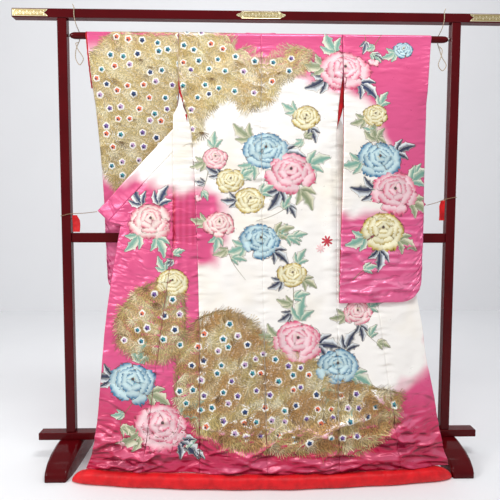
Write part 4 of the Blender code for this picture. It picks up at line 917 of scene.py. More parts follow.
@dataclass
class Body:
    """The body of the robe: two back widths, two fronts and two overlaps."""

    drape: Drape
    palette: Palette
    rows: int = 280
    columns: int = 44
    levels: Array = field(init=False)

    def __post_init__(self) -> None:
        """Set the heights of the rows, which lie closer together towards the hem."""
        t = np.linspace(0.0, 1.0, self.rows)
        self.levels = ROD_AXIS + (HEM_Z - ROD_AXIS) * (1 - (1 - t) ** 1.22)

    def dress(self, name: str, grid: Array, part: Cloth, nodes: Sequence[str], thickness: float = CLOTH,
              outward: Array = FRONT, tight: Optional[Array] = None, hung: float = -1.0) -> Item:
        """Wall a grid, give it its satin attributes, painted shade and painted highlights among them, and put
        it in the nodes' place.

        Below the height hung the lining lies plain behind the creases of the silk.
        """
        x, z = grid[..., 0].ravel(), grid[..., 2].ravel()
        shell = walled(grid, thickness, outward)
        behind = thickness / 2 + np.maximum(self.drape.fine(x, z), 0.0)
        places = grid.reshape(-1, 3)
        rear = places + joined(0.0, behind, 0.0)
        spread = np.zeros(grid.shape[:2])
        for rim, next_in in ((0, 1), (-1, -2)):
            spread[:, rim] = 0.0004 * np.sign(grid[:, rim, 0] - grid[:, next_in, 0])
        rear[:, 0] += spread.ravel()
        plain = np.concatenate([places + FRONT * thickness / 2, rear])
        shell.points += np.tile(ease(hung, hung - 0.07, z)[:, None], (2, 1)) * (plain - shell.points)
        pucker = self.drape.near_seam(x, z) if tight is None else tight.ravel()
        # Painted light from the slope of the face's relief: painted shade where it faces down, painted
        # highlight where it faces up.
        gleam = gleam_of(self.drape.fine, x, z)
        deep = ease(0.46, 0.1, z)
        slack = 0.1 + 0.9 * deep
        if part is Cloth.LEFT_FRONT:
            slack = np.maximum(slack, 0.6 * ease(1.15, 0.95, z))
            past = x - PLEAT_EDGE_X
            pleat = ease(0.84, 0.9, z) * ease(1.42, 1.36, z) * (x > PLEAT_EDGE_X - 0.001)
            # On the pleat the painted light is evened out, and a painted shadow line runs along the pleat's
            # edge.
            gleam = gleam + pleat * (0.5 - gleam) * 0.62 - 0.26 * pleat * bell(past, 0.0045)
            # Painted shade on the pleat: its pink is deepened all over and most along its edge, with soft
            # upright stripes of shade across it.
            deep = deep + pleat * (0.85 * bell(past, 0.009) + 0.3 + 0.2 * np.sin(2.0 * np.pi * past / 0.024))
        dye = dye_of(part, x, z)
        shell.values = satin_values(dye=dye, pucker=pucker, slack=slack, deep=deep, gleam=gleam)
        return add_piece(name, shell, (self.palette.satin, self.palette.lining), nodes)

    def back(self, side: int) -> Item:
        """One back width: over the rod's near side, then down the face to the hem."""
        outer = BACK_LEFT if side < 0 else BACK_RIGHT
        share = crowded(self.columns)

        def across(z: Any) -> Array:
            """Places across the width at the heights z."""
            x0, x1 = MIDDLE.at(z) + side * 0.0002, outer.at(z) - side * 0.0002
            return x0 + (x1 - x0) * share

        y, z = over_rod(np.linspace(GAP, QUARTER, 7)[:-1, None], -1)
        levels = self.levels[:, None]
        grid = np.concatenate([joined(across(1.69), y, z), self.drape.points(across(levels), levels)])
        label = SIDES[side]
        return self.dress(f"back_silk_{label}", grid, Cloth.BODY, (f"back_{label}",), outward=UP, hung=1.66)

    @staticmethod
    def pleated(seam: Array, edge: Array, collar: Array, flat: Array, bulge: Any = 0.0) -> Array:
        """Rows of the left front: out to the pleat's edge, a half-round turn, and back to the seam.

        Args:
            seam: Points on the side seam, one for each row.
            edge: Points on the pleat's edge.
            collar: Points on the overlap's seam.
            flat: 0 where the pleat stands, 1 where the cloth only bends between the three points.
            bulge: How far the pleat's top layer swells towards the viewer, one for each row.

        Returns:
            Grid of rows; the bend is the quadratic curve (1-t)^2 a + 2t(1-t) f + t^2 g.
        """
        seam, edge, collar = seam[:, None], edge[:, None], collar[:, None]
        top_share = np.linspace(0, 1, 19)[:-1, None]
        under_share = np.linspace(0, 1, 15)[1:, None]
        angle = np.radians(np.linspace(-90, 90, 11))
        top = seam + (edge - seam) * top_share
        top[:, :, 1] -= np.reshape(bulge, (-1, 1)) * swelling(top_share[:, 0])
        under = edge + (collar - edge) * under_share
        under[:, :, 1] += 2 * PLEAT_RADIUS * (1 - under_share[:, 0])
        turn = joined(PLEAT_RADIUS * (1 - np.cos(angle)), PLEAT_RADIUS * (1 + np.sin(angle)), 0.0)
        folded = np.concatenate([top, edge + turn, under], axis=1)
        t = FRONT_SHARE[:, None]
        bent = (1 - t) ** 2 * seam + 2 * t * (1 - t) * edge + t ** 2 * collar
        flat = flat[:, None, None]
        return (1 - flat) * folded + flat * bent

    def rising(self, last: Array, crossing: Sequence[Sequence[float]], side: int, count: int) -> Array:
        """Rows of a front above the armpit: through its crossings, up behind the back, over the rod.

        Args:
            last: The last row on the face.
            crossing: Table of height, seam x y, bend x y, far seam x y, flatness.
            side: -1 left, +1 right.
            count: Number of rows wanted, with the last one on the face.

        Returns:
            Rows read from a smooth curve through the coarse ones.
        """
        z, ax, ay, fx, fy, gx, gy, flat = np.array(crossing).T
        coarse = self.pleated(joined(ax, ay, z), joined(fx, fy, z), joined(gx, gy, z), flat)
        step = np.arange(4, -1, -1)[:, None]
        y, z = over_rod(QUARTER * step / 4 + GAP, 1)
        neck = NECK_HALF + NECK_SPREAD * step / 4
        x = side * (SHOULDER_HALF + (neck - SHOULDER_HALF) * np.linspace(0, 1, coarse.shape[1]))
        return respaced(np.concatenate([last[None], coarse, joined(x, y, z)]), count)[1:]

    def front_left(self) -> Item:
        """Left front: side seam to overlap seam with the standing pleat, then through the armpit."""
        z = self.levels[self.levels <= LEFT_TURN_Z][::-1]
        points = self.drape.points
        a_x, g_x = BACK_LEFT.at(z), OVERLAP_LEFT.at(z)
        flat = 1.0 - ease(-0.006, 0.012, g_x - PLEAT_EDGE_X)
        f_x = np.where(flat < 1.0, PLEAT_EDGE_X, (a_x + g_x) / 2)
        standing = 1 - flat
        swell = PLEAT_SWELL * standing
        under = np.interp(z, (1.25, 1.307), (0.0026, 0.003))
        folded = self.pleated(points(a_x - 0.0004, z), points(f_x, z, swell),
                              points(g_x + 0.0004, z, under * standing), np.zeros_like(z), swell)
        plain = points(a_x[:, None] - 0.0004 + (g_x - a_x)[:, None] * FRONT_SHARE, z[:, None])
        rows = standing[:, None, None] * folded + flat[:, None, None] * plain
        crossing = ((1.4, -0.2975, -0.05, -0.3205, -0.05, -0.304, -0.034, 0.1),
                    (1.435, -0.306, -0.04, -0.314, -0.03, -0.305, -0.008, 0.55),
                    (1.47, -0.309, -0.018, -0.306, 0.0, -0.298, 0.015, 1.0),
                    (1.51, -0.311, 0.004, -0.296, 0.016, -0.269, 0.023, 1.0),
                    (1.56, -0.313, 0.011, -0.27, 0.019, -0.216, 0.023, 1.0),
                    (1.62, -0.315, 0.0142, -0.23, 0.017, -0.142, 0.019, 1.0))
        grid = np.concatenate([rows, self.rising(rows[-1], crossing, -1, 64)])
        return self.dress("front_silk_left", grid, Cloth.LEFT_FRONT, ("front_left",), hung=0.84)

    def front_right(self) -> Item:
        """Right front: side seam to overlap seam, turned about its side seam behind the sleeve."""
        z = self.levels[self.levels <= RIGHT_TURN_Z][::-1, None]
        a_x, g_x = BACK_RIGHT.at(z) + 0.0002, OVERLAP_RIGHT.at(z) - 0.0002
        rows = self.drape.points(a_x + (g_x - a_x) * FRONT_SHARE, z, tucked=True)
        crossing = ((1.33, 0.299, -0.033, 0.318, -0.017, 0.332, 0.003, 1.0),
                    (1.375, 0.301, -0.024, 0.307, -0.005, 0.316, 0.015, 1.0),
                    (1.42, 0.305, -0.012, 0.303, 0.006, 0.3, 0.024, 1.0),
                    (1.465, 0.309, 0.0, 0.298, 0.016, 0.28, 0.027, 1.0),
                    (1.51, 0.311, 0.008, 0.292, 0.019, 0.256, 0.026, 1.0),
                    (1.56, 0.313, 0.012, 0.27, 0.019, 0.214, 0.024, 1.0),
                    (1.62, 0.315, 0.0142, 0.23, 0.017, 0.142, 0.019, 1.0))
        grid = np.concatenate([rows, self.rising(rows[-1], crossing, 1, 70)])
        return self.dress("front_silk_right", grid, Cloth.BODY, ("front_right",), hung=RIGHT_TURN_Z)

    def overlap(self, side: "CollarRun") -> Item:
        """An overlap: a long wedge from its point at the collar, between its seam and the front edge."""
        left = side.sign < 0
        seam, edge, first = (OVERLAP_LEFT, EDGE_LEFT, 0.02) if left else (OVERLAP_RIGHT, EDGE_RIGHT, 0.055)
        split, turned = 0.27, 0.33
        low = turned + (1 - turned) * (1 - (1 - np.linspace(0, 1, 200)) ** 1.2)
        level = np.concatenate([np.linspace(first, split, 60)[:-1], np.linspace(split, turned, 12)[:-1], low])
        z_seam = side.seam[1] + (HEM_Z - side.seam[1]) * level
        seam_line = seam.at(z_seam) + side.sign * 0.0003, z_seam
        corner = np.array(side.place(1.0, 0.0))
        turn = np.array([edge.table[0][1], edge.table[0][0]])
        beside = side.place(np.minimum(level / split, 1.0), 0.0)
        bridge = corner + (turn - corner) * np.clip((level - split) / (turned - split), 0.0, 1.0)[:, None]
        z_free = turn[1] + (HEM_Z - turn[1]) * np.clip((level - turned) / (1 - turned), 0.0, 1.0)
        edge_line = (np.where(level < split, near, np.where(level < turned, across, free))
                     for near, across, free in zip(beside, bridge.T, (edge.at(z_free), z_free)))
        share = crowded(36, 0.5)
        x, z = (start[:, None] + (end - start)[:, None] * share for start, end in zip(seam_line, edge_line))
        grid = self.drape.points(x, z, tucked=not left)
        label = SIDES[side.sign]
        return self.dress(f"overlap_silk_{label}", grid, Cloth.LEFT_FRONT if left else Cloth.BODY,
                          (f"overlap_{label}",), hung=1.25)


@dataclass(frozen=True)
class CollarRun:
    """The straight stretch of a collar half, from the armpit to its tied tip."""

    sign: int
    seam: Pair
    free: Pair
    tip: Pair

    def place(self, along: Any, across: Any) -> tuple[Array, Array]:
        """x and z at a share along, from armpit to tip, and a share across, from seam to free edge."""
        return tuple(self.seam[axis] + (self.free[axis] - self.seam[axis]) * across
                     + (self.tip[axis] - self.free[axis]) * along for axis in (0, 1))


RUN_LEFT = CollarRun(-1, (-0.283, 1.285), (-0.327, 1.326), (-0.636, 1.003))
RUN_RIGHT = CollarRun(1, (0.33, 1.285), (0.374, 1.327), (0.664, 1.032))


@dataclass
class Collars:
    """Both halves of the doubled collar: from the neck, behind the back, out through the armpit."""

    body: Body
    columns: int = 15

    @staticmethod
    def neck_rows(sign: int) -> list[Array]:
        """Rows round the back of the neck, rolled over the rod's far side."""
        rows = []
        neck = ((0.0, 2, 0.0, 0.0265, 1.63), (0.03, 2, 0.022, 0.027, 1.62),
                (0.0595, 2, 0.042, 0.028, 1.603), (0.0665, 32, 0.049, 0.0285, 1.592),
                (0.0725, 62, 0.056, 0.029, 1.582))
        step = np.arange(4)
        for seam_x, start, free_x, free_y, free_z in neck:
            angle = np.radians(start + (90 - start) * step / 3)
            radius = DRAPE_RADIUS + 0.0014 + 0.0009 * step
            x = sign * (seam_x + (free_x - seam_x) * step / 6)
            rolled = joined(x, radius * np.sin(angle), ROD_AXIS + radius * np.cos(angle))
            free = np.array([sign * free_x, free_y, free_z])
            hanging = rolled[-1] + (free - rolled[-1]) * np.array([[1 / 3], [2 / 3], [1.0]])
            rows.append(np.concatenate([rolled, hanging]))
        return rows

    def half(self, run: CollarRun, turning: Sequence[Sequence[float]]) -> Item:
        """One half of the collar, in one piece from the middle of the neck to the tied tip.

        Args:
            run: The straight stretch in front of the armpit.
            turning: Seam and free edge where the collar turns through the armpit gap.

        Returns:
            The dressed piece.
        """
        sign = run.sign
        bands = ((sign * 0.079, DRAPE_RADIUS + 0.002, ROD_AXIS - 0.004, sign * 0.063, 0.0295, 1.572),
                 (sign * 0.142, 0.0205, 1.62, sign * 0.092, 0.03, 1.545),
                 (sign * 0.205, 0.0235, 1.56, sign * 0.128, 0.031, 1.52), *turning)
        seam, free = np.split(np.array(bands)[:, None], 2, axis=2)
        share = np.linspace(0.0, 1.0, 7)
        coarse = np.concatenate([self.neck_rows(sign), seam + (free - seam) * share[:, None]])
        across = np.linspace(0.0, 1.0, self.columns)
        along = np.linspace(0.0 if sign < 0 else 0.06, 1.0, 74)[:, None]
        face = self.body.drape.points(*run.place(along, across), tucked=sign > 0)
        fine = hermite(share, coarse.transpose(1, 0, 2), across).transpose(1, 0, 2)
        grid = np.concatenate([respaced(np.concatenate([fine, face[:1]]), 120)[:-1], face])
        grid[0, :, 0] += sign * 0.0004
        label = SIDES[sign]
        tight = np.broadcast_to(np.abs(across - 0.5) * 1.2, grid.shape[:2])
        return self.body.dress(f"collar_silk_{label}", grid, Cloth.LEFT_FRONT if sign < 0 else Cloth.BODY,
                               (f"over_collar_{label}", f"collar_{label}"), COLLAR_CLOTH, UP, tight)


COLLAR_LEFT_TURN = (
    (-0.262, 0.024, 1.5, -0.16, 0.031, 1.495), (-0.295, 0.02, 1.46, -0.215, 0.032, 1.438),
    (-0.303, 0.004, 1.425, -0.262, 0.03, 1.392), (-0.304, -0.019, 1.39, -0.3, 0.016, 1.366),
    (-0.298, -0.039, 1.345, -0.316, -0.0165, 1.344))
COLLAR_RIGHT_TURN = (
    (0.254, 0.027, 1.5, 0.16, 0.032, 1.495), (0.285, 0.029, 1.45, 0.22, 0.036, 1.43),
    (0.306, 0.026, 1.4, 0.27, 0.04, 1.375), (0.327, 0.017, 1.345, 0.317, 0.04, 1.325),
    (0.348, 0.006, 1.29, 0.365, 0.022, 1.285))


# ---------------------------------------------------------------- sleeves, cuff and padded hem
@dataclass
class Sleeve:
    """A hanging sleeve: a flat tube over the rod, sewn shut at its outer edge below the cuff."""

    sign: int
    inner: Line
    outer: Line
    drape: Drape
    bottom: float = 0.658
    corner: float = 0.078
    width: float = 0.31
    room: float = 0.0075
    lift: float = 0.0095
    left_y: float = 0.0135
    sewn: float = 0.0018
    cuff_bottom: float = 1.455

    def across(self, x: Array, z: Array) -> Array:
        """Share of the way from the inner edge to the outer one."""
        inside = self.inner.at(z)
        return np.clip((x - inside) / (self.outer.at(z) - inside), 0.0, 1.0)

    def lowest(self, across: Array) -> Array:
        """Height of the bottom edge: level, then a quarter circle up at the outer corner."""
        turned = np.clip((across - 1) * self.width / self.corner + 1, 0.0, 1.0)
        return self.bottom + self.corner * (1 - np.sqrt(np.maximum(1 - turned ** 2, 0.0)))

    def layers(self, x: Array, z: Array, across: Array) -> tuple[Array, Array]:
        """Depths of the near and far layers, which close together at the sewn outer edge."""
        room = self.room + (2 * DRAPE_RADIUS - self.room) * ease(1.22, 1.66, z)
        if self.sign > 0:
            front = self.drape.main(x, z) - self.lift * ease(1.66, 1.45, z)
        else:
            front = -DRAPE_RADIUS + (self.left_y + DRAPE_RADIUS) * ease(1.62, 0.98, z)
        closed = ease(0.86, 1.0, across) * ease(self.cuff_bottom + 0.012, self.cuff_bottom - 0.045, z)
        middle = front + room / 2
        room = room + (self.sewn - room) * closed
        return middle - room / 2, middle + room / 2

    def relief(self, x: Array, z: Array, across: Array, seed: int) -> Array:
        """Outward relief: puckers along the sewn edges, soft waves, and creases across the low end."""
        edge = bell((1 - across) * self.width, 0.03) + bell(across * self.width, 0.028)
        low = bell(z - self.lowest(across), 0.045)
        level = z + 0.004 * waves(x, z, seed, 0.16, 0.05, 5)
        turn = level * 2 * np.pi
        pucker = 0.5 + 0.25 * np.sin(turn / 0.031) + 0.25 * np.sin(turn / 0.019 + 1.0)
        upright = 0.5 + 0.5 * np.sin(x * 2 * np.pi / 0.027 + 1.5 * waves(x, z, seed + 1, 0.2, 0.08, 4))
        creases = np.maximum(0.0, waves(x * 0.34, z, seed + 2, 0.085, 0.026, 12)) ** 1.3
        slump = ease(1.12, 0.76, z) * 0.0046 + 0.0006
        soft = 0.0012 * (1 + 0.5 * waves(x, z, seed + 3, 0.22, 0.08, 10))
        soft = soft + bell(waves(x * 0.55, z, seed + 4, 0.26, 0.09, 10), 0.26) * slump * 0.7
        raised = 0.0018 * edge * pucker + 0.0015 * low * upright + slump * creases + soft
        return raised * ease(1.675, 1.6, z)

    def grid(self, row_count: int, column_count: int) -> Array:
        """Loop of the sleeve: down the near layer, round the bottom, up the far one, over the rod."""
        across = 1 - (1 - np.linspace(0.0, 1.0, column_count)) ** 1.25
        bottom = self.lowest(across) + 0.004
        z = ROD_AXIS + (bottom - ROD_AXIS) * np.linspace(0.0, 1.0, row_count)[:, None]
        inside, outside = self.inner.at(z), self.outer.at(z)
        x = inside + (outside - inside) * across
        near, far = self.layers(x, z, across)
        front = joined(x, near - self.relief(x, z, across, 31 + self.sign), z)
        rear = joined(x, far + 0.4 * self.relief(x, z, across, 41 + self.sign), z)
        angle = np.pi * np.linspace(0, 1, 8)[1:-1, None, None]
        middle, half = (front[-1] + rear[-1]) / 2, (rear[-1] - front[-1]) / 2
        turn = middle - half * np.cos(angle)
        turn[..., 2] = middle[:, 2] - 0.0035 * np.sin(angle[..., 0])
        angle = np.pi * np.linspace(0, 1, 14)[1:-1, None]
        over = joined(x[0], DRAPE_RADIUS * np.cos(angle), ROD_AXIS + DRAPE_RADIUS * np.sin(angle))
        return np.concatenate([front, turn, rear[::-1], over])

    def face(self, x: Array, z: Array, side: int) -> Array:
        """Depth of the sleeve's own surface on its near side, -1, or its far side, +1."""
        across = self.across(x, z)
        near, far = self.layers(x, z, across)
        if side < 0:
            return near - self.relief(x, z, across, 31 + self.sign) - SLEEVE_CLOTH / 2
        return far + 0.4 * self.relief(x, z, across, 41 + self.sign) + SLEEVE_CLOTH / 2

    def build(self, palette: Palette) -> Item:
        """Make the sleeve in dyed satin with its red lining, with painted shade and painted highlights in its
        colour.
        """
        grid = self.grid(216, 54)
        shell = walled(grid, SLEEVE_CLOTH, ring=True)
        x, z = grid[..., 0].ravel(), grid[..., 2].ravel()
        across = self.across(x, z)
        # Painted light from the slope of the sleeve's relief, lifted towards painted highlight on the lower
        # sleeve.
        gleam = gleam_of(lambda x, z: self.relief(x, z, across, 31 + self.sign), x, z)
        shell.values = satin_values(
            dye=dye_of(Cloth.LEFT_SLEEVE if self.sign < 0 else Cloth.RIGHT_SLEEVE, x, z),
            pucker=bell((1 - across) * self.width, 0.03) + bell(across * self.width, 0.03),
            slack=0.12 + 0.75 * ease(1.15, 0.8, z), deep=np.zeros_like(x),
            gleam=np.minimum(gleam + 0.27 * ease(1.2, 0.8, z), 1.0))
        label = SIDES[self.sign]
        return add_piece(f"sleeve_silk_{label}", shell, (palette.satin, palette.lining),
                         (f"sleeve_{label}",))

    def vent(self, palette: Palette, edge: Line) -> SilkPiece:
        """The red lining seen through the slit between the back and the sleeve: a narrow lens."""
        high, inset = 1.515, 0.003
        low, widest, behind = (1.405, 0.0075, 0.0012) if self.sign < 0 else (1.325, 0.019, 0.0045)
        z = np.linspace(high, low, 36)[:, None]
        width = inset + widest * np.sin(np.pi * (high - z) / (high - low))
        x = edge.at(z) + self.sign * (width * np.linspace(0.0, 1.0, 5) - inset)
        shell = walled(joined(x, self.drape.main(x, z) + behind, z), 0.001)
        label = SIDES[self.sign]
        item = add_piece(f"slit_lining_{label}", shell, (palette.lining, palette.lining))
        tall = high - low
        return SilkPiece(item, (round(0.004 + widest, 4), round(tall * 1.01, 3)), "hung",
                         (f"sleeve_silk_{label}",), round(tall * (0.004 + widest * 2 / np.pi), 5))

    def cuff(self, palette: Palette) -> Item:
        """The lining's narrow rolled edge past the cuff opening: a soft bead along the whole mouth."""
        levels = np.linspace(self.cuff_bottom + 0.02, ROD_AXIS, 46)
        x = self.outer.at(levels)
        near, far = self.layers(x, levels, np.ones(46))
        angle = np.pi * np.linspace(0, 1, 16)[1:-1]
        over = joined(x[-1], -DRAPE_RADIUS * np.cos(angle), ROD_AXIS + DRAPE_RADIUS * np.sin(angle))
        path = np.concatenate([joined(x, near, levels), over, joined(x, far, levels)[::-1]])
        run = runs(path)[:, None]
        reach = np.array([0.0003, 0.0016, 0.0032, 0.0048, 0.006])
        swell = np.sin(np.pi * np.linspace(0.05, 1, 5))
        grid = np.repeat(path[:, None], 5, axis=1)
        grid[..., 0] += self.sign * reach * (1 + 0.05 * np.sin(run * 2 * np.pi / 0.021))
        grid[..., 1] += 0.0006 * swell * np.sin(run * 2 * np.pi / 0.034)
        return add_piece("cuff_lining_silk_left", walled(grid, SLEEVE_CLOTH),
                         (palette.lining, palette.lining), ("cuff_lining_left",))


@dataclass
class PaddedHem:
    """The padded hem: a soft roll along the floor line, flat below and pointed at both ends."""

    drape: Drape
    depth: float = 0.058
    height: float = 0.0475
    left_tip: float = -0.703
    right_tip: float = 0.719
    taper: float = 0.085
    ahead: float = 0.006

    def build(self, palette: Palette) -> None:
        """Carry a rounded section along the hem, gathered where the silk is drawn over the wadding."""
        near_tip = self.taper * np.linspace(0, 1, 24)[:-1] ** 1.7
        middle = np.linspace(self.left_tip + self.taper, self.right_tip - self.taper, 330)
        x = np.concatenate([self.left_tip + near_tip, middle, self.right_tip - near_tip[::-1]])
        inward = np.minimum(1.0, (np.minimum(x - self.left_tip, self.right_tip - x) + 0.0015) / self.taper)
        size = np.sqrt(1 - (1 - inward) ** 2)
        angle = np.linspace(0, 2 * np.pi, 32, endpoint=False)[None, :]
        reach = np.sign(np.cos(angle)) * np.abs(np.cos(angle)) ** 0.8
        rise = np.sign(np.sin(angle)) * np.abs(np.sin(angle)) ** 0.8
        slanted = x[:, None] + 0.006 * np.sin(angle)
        gathers = (0.55 * waves(slanted, 0 * slanted + 0.02 * angle, 61, 0.03, 0.013, 9)
                   + 0.45 * waves(slanted, 0.04 * angle, 63, 0.075, 0.03, 7))
        drawn = 0.022 + 0.05 * np.maximum(0.0, np.sin(angle + 0.5))
        swell = 1 + drawn * gathers * ease(0.1, 0.6, inward)[:, None]
        across = self.depth / 2 * size[:, None] * swell
        tall = self.height * size[:, None]
        y = self.drape.setback(x)[:, None] - self.ahead + 0.0016 * waves(x, 0 * x, 65, 0.32, 0.12, 5)[:, None]
        z = np.maximum(0.0, tall / 2 * (1 + 1.06 * rise * (0.5 + 0.5 * swell)) - 0.03 * tall)
        sections = joined(x[:, None] + 0 * angle, y + across * reach, z)
        item = add_piece("padded_hem", loft(sections, 0.17), (palette.hem,), ("hem_roll",))


# ---------------------------------------------------------------- embroidery
class Bloom(Enum):
    """Colours of a peony: its heart, the body of its petals and their rims."""

    PINK = (linear(226, 130, 156), linear(251, 218, 222), linear(226, 78, 122))
    BLUSH = (linear(232, 156, 170), linear(253, 228, 224), linear(232, 106, 138))
    TEAL = (linear(60, 140, 168), linear(206, 232, 234), linear(0, 110, 156))
    YELLOW = (linear(170, 144, 70), linear(249, 244, 208), linear(190, 158, 14))
    SHELL = (linear(222, 146, 156), linear(254, 234, 226), linear(222, 100, 126))


class Leaf(Enum):
    """Colours of the two halves of a leaf."""

    GREEN = (linear(118, 170, 152), linear(226, 230, 208))
    MOSS = (linear(138, 150, 112), linear(222, 218, 186))
    NAVY = (linear(14, 42, 92), linear(240, 242, 240))
    INK = (linear(10, 28, 70), linear(222, 228, 232))


PINK, BLUSH, TEAL, YELLOW, SHELL = Bloom
GREEN, MOSS, NAVY, INK = Leaf
GOLD = linear(206, 186, 124)
PALE_GOLD = linear(238, 228, 194)
COPPER = linear(186, 134, 78)
BRONZE = linear(104, 76, 50)
UMBER = linear(112, 84, 48)
BARK = linear(132, 122, 84)
HEARTS: tuple[Colour, ...] = (linear(40, 130, 150), linear(120, 90, 160), linear(226, 110, 70),
                              linear(20, 60, 110), linear(186, 150, 190), linear(60, 150, 160))


@dataclass
class Patches:
    """A batch of stitched patches in the plane of the cloth, K patches on grids of R x C points."""

    x: Array
    z: Array
    lift: Array
    colour: Array
    uv: Array
    gold: bool = False


def tinted(colour: Array, shape: tuple[int, ...]) -> Array:
    """Spread one colour for each patch over its grid."""
    return np.broadcast_to(np.asarray(colour)[:, None, None, :], (*shape, 3)).copy()


def alike(colour: Colour, count: int) -> Array:
    """One colour for all of a batch's patches."""
    return np.broadcast_to(np.array(colour), (count, 3))


def placed(centre: Array, heading: Array, along: Array, away: Array) -> tuple[Array, Array]:
    """Turn each patch to its heading and carry it to its centre: its x and z."""
    cos, sin = np.cos(heading)[:, None, None], np.sin(heading)[:, None, None]
    return (centre[:, 0][:, None, None] + along * cos - away * sin,
            centre[:, 1][:, None, None] + along * sin + away * cos)


def petals(centre: Array, heading: Array, length: Array, width: Array, base: Array,
           bloom: Array, ripple: Array) -> Patches:
    """Padded satin-stitch petals, pale inside, with a ruffled and deeply coloured rim.

    The half width is w (0.42 + 0.58 sin(pi/2 u/0.7)) up to 0.7 of the length and then closes as a
    quarter ellipse; the height is a dome that sinks into the cloth at the rim.

    Args:
        centre: Base of each petal, K x 2.
        heading: Direction it points in, in radians.
        length: Its length.
        width: Its full width.
        base: Height of its rim over the cloth.
        bloom: Heart, body and rim colours, K x 3 x 3.
        ripple: Phase of its scalloped edge.

    Returns:
        The batch.
    """
    u = np.array([0.0, 0.2, 0.4, 0.58, 0.72, 0.84, 0.93, 1.0])[:, None]
    v = np.linspace(-1.0, 1.0, 9)
    swell = np.where(u < 0.7, 0.42 + 0.58 * np.sin(np.pi / 2 * np.minimum(u / 0.7, 1.0)),
                     np.sqrt(np.maximum(1 - ((u - 0.7) / 0.3) ** 2, 0.0)) * 0.75 + 0.25)
    scallop = 1 + 0.13 * np.cos(3.1 * np.pi * v + ripple[:, None, None]) * u ** 3 - 0.16 * v ** 2 * u
    along = length[:, None, None] * u * scallop
    away = width[:, None, None] / 2 * swell * v
    x, z = placed(centre, heading, along, away)
    inside = np.sqrt(np.clip(np.minimum(1 - v ** 2, (1 - u) * 4), 0.0, 1.0))
    lift = base[:, None, None] + 0.0011 * inside - 0.0009 * (1 - inside)
    share = np.maximum(u, np.abs(v) ** 3 * 0.86 * ease(0.1, 0.45, u))[..., None]
    inner, outer = ease(0.0, 0.35, share), ease(0.52, 0.98, share)
    heart, body, rim = (bloom[:, part][:, None, None] for part in range(3))
    colour = heart * (1 - inner) + body * (inner - outer) + rim * outer
    return Patches(x, z, lift, colour, joined(away, along))


def petal_rims(batch: Patches, width: float) -> Patches:
    """Couched bronze thread round the free rim of every petal of a batch."""
    grid = joined(batch.x, batch.z, batch.lift)
    path = np.concatenate([grid[:, 1:, 0], grid[:, -1, 1:-1], grid[:, :0:-1, -1]], axis=1)
    return threads(path[..., :2], width, path[..., 2] + 0.0009, alike(BRONZE, len(path)))


def threads(path: Array, width: float, lift: Any, colour: Array, tapered: bool = False) -> Patches:
    """Laid threads: a low ridge, three points across, along each path.

    Args:
        path: K x N x 2 points.
        width: Width of the threads.
        lift: Height of their edges over the cloth, one for all or K x N.
        colour: K x 3.
        tapered: Whether the far end narrows.

    Returns:
        The batch, in gold thread.
    """
    along = np.gradient(path, axis=1)
    along /= np.maximum(np.linalg.norm(along, axis=2, keepdims=True), 1e-9)
    aside = joined(-along[..., 1], along[..., 0])
    step = np.array([-0.5, 0.0, 0.5])[:, None]
    narrow = np.linspace(1.0, 0.35, path.shape[1]) if tapered else np.ones(path.shape[1])
    grid = path[:, :, None] + aside[:, :, None] * step * (width * narrow)[:, None, None]
    height = np.broadcast_to(lift, path.shape[:2])[:, :, None] + np.array([-0.0005, 0.0004, -0.0005])
    return Patches(grid[..., 0], grid[..., 1], height, tinted(colour, grid.shape[:3]), grid, gold=True)


def leaflets(root: Array, angle: Sequence[float], leaves: Sequence[Leaf], spread: Sequence[float],
             length: Array, broad: float) -> list[Patches]:
    """Leaves in threes: pointed leaflets with two toned halves and a couched midrib and rim.

    Args:
        root: Base of each leaf, N x 2.
        angle: Its direction in degrees.
        leaves: Its colours.
        spread: Turns of its three leaflets in degrees.
        length: Their lengths.
        broad: Their full width as a share of their length.

    Returns:
        The leaf bodies and their lines of thread.
    """
    heading = (np.radians(angle)[:, None] + np.radians(spread)).ravel()
    centre, halves = np.repeat(root, 3, axis=0), np.repeat([leaf.value for leaf in leaves], 3, axis=0)
    long = np.tile(length, len(leaves))
    width = (long * broad)[:, None, None]
    long = long[:, None, None]
    u = np.linspace(0.0, 1.0, 13)[:, None]
    v = np.linspace(-1.0, 1.0, 5)
    notch = 1 + 0.3 * np.where(np.arange(13) % 4 == 3, 1.0, -0.35)[:, None]
    swell = np.sin(np.pi * u ** 0.75) ** 0.85 * notch
    along = long * u + 0 * v
    away = width / 2 * swell * v + 0.1 * long * np.sin(np.pi * u)
    x, z = placed(centre, heading, along, away)
    inside = np.clip((1 - v ** 2) * np.sin(np.pi * u) * 2, 0.0, 1.0) + 0 * x
    lift = 0.0003 + 0.0007 * np.sqrt(inside) - 0.0006 * (1 - inside)
    side = (v > 0.01).astype(float)[:, None]
    edge = 0.6 * np.abs(v)[:, None] ** 4
    colour = halves[:, 0][:, None, None] * (1 - side) + halves[:, 1][:, None, None] * side
    colour = colour * (1 - edge) + np.array(linear(240, 240, 226)) * edge + 0 * u[..., None]
    flat = joined(x, z)
    rim = np.concatenate([flat[:, :, 0], flat[:, -2::-1, -1]], axis=1)
    return [Patches(x, z, lift, colour, joined(away + along * 0.8, along)),
            threads(flat[:, :-1, 2], 0.0017, 0.0011, alike(linear(232, 230, 206), len(x)), True),
            threads(rim, 0.0013, 0.0003, alike(BRONZE, len(x)))]


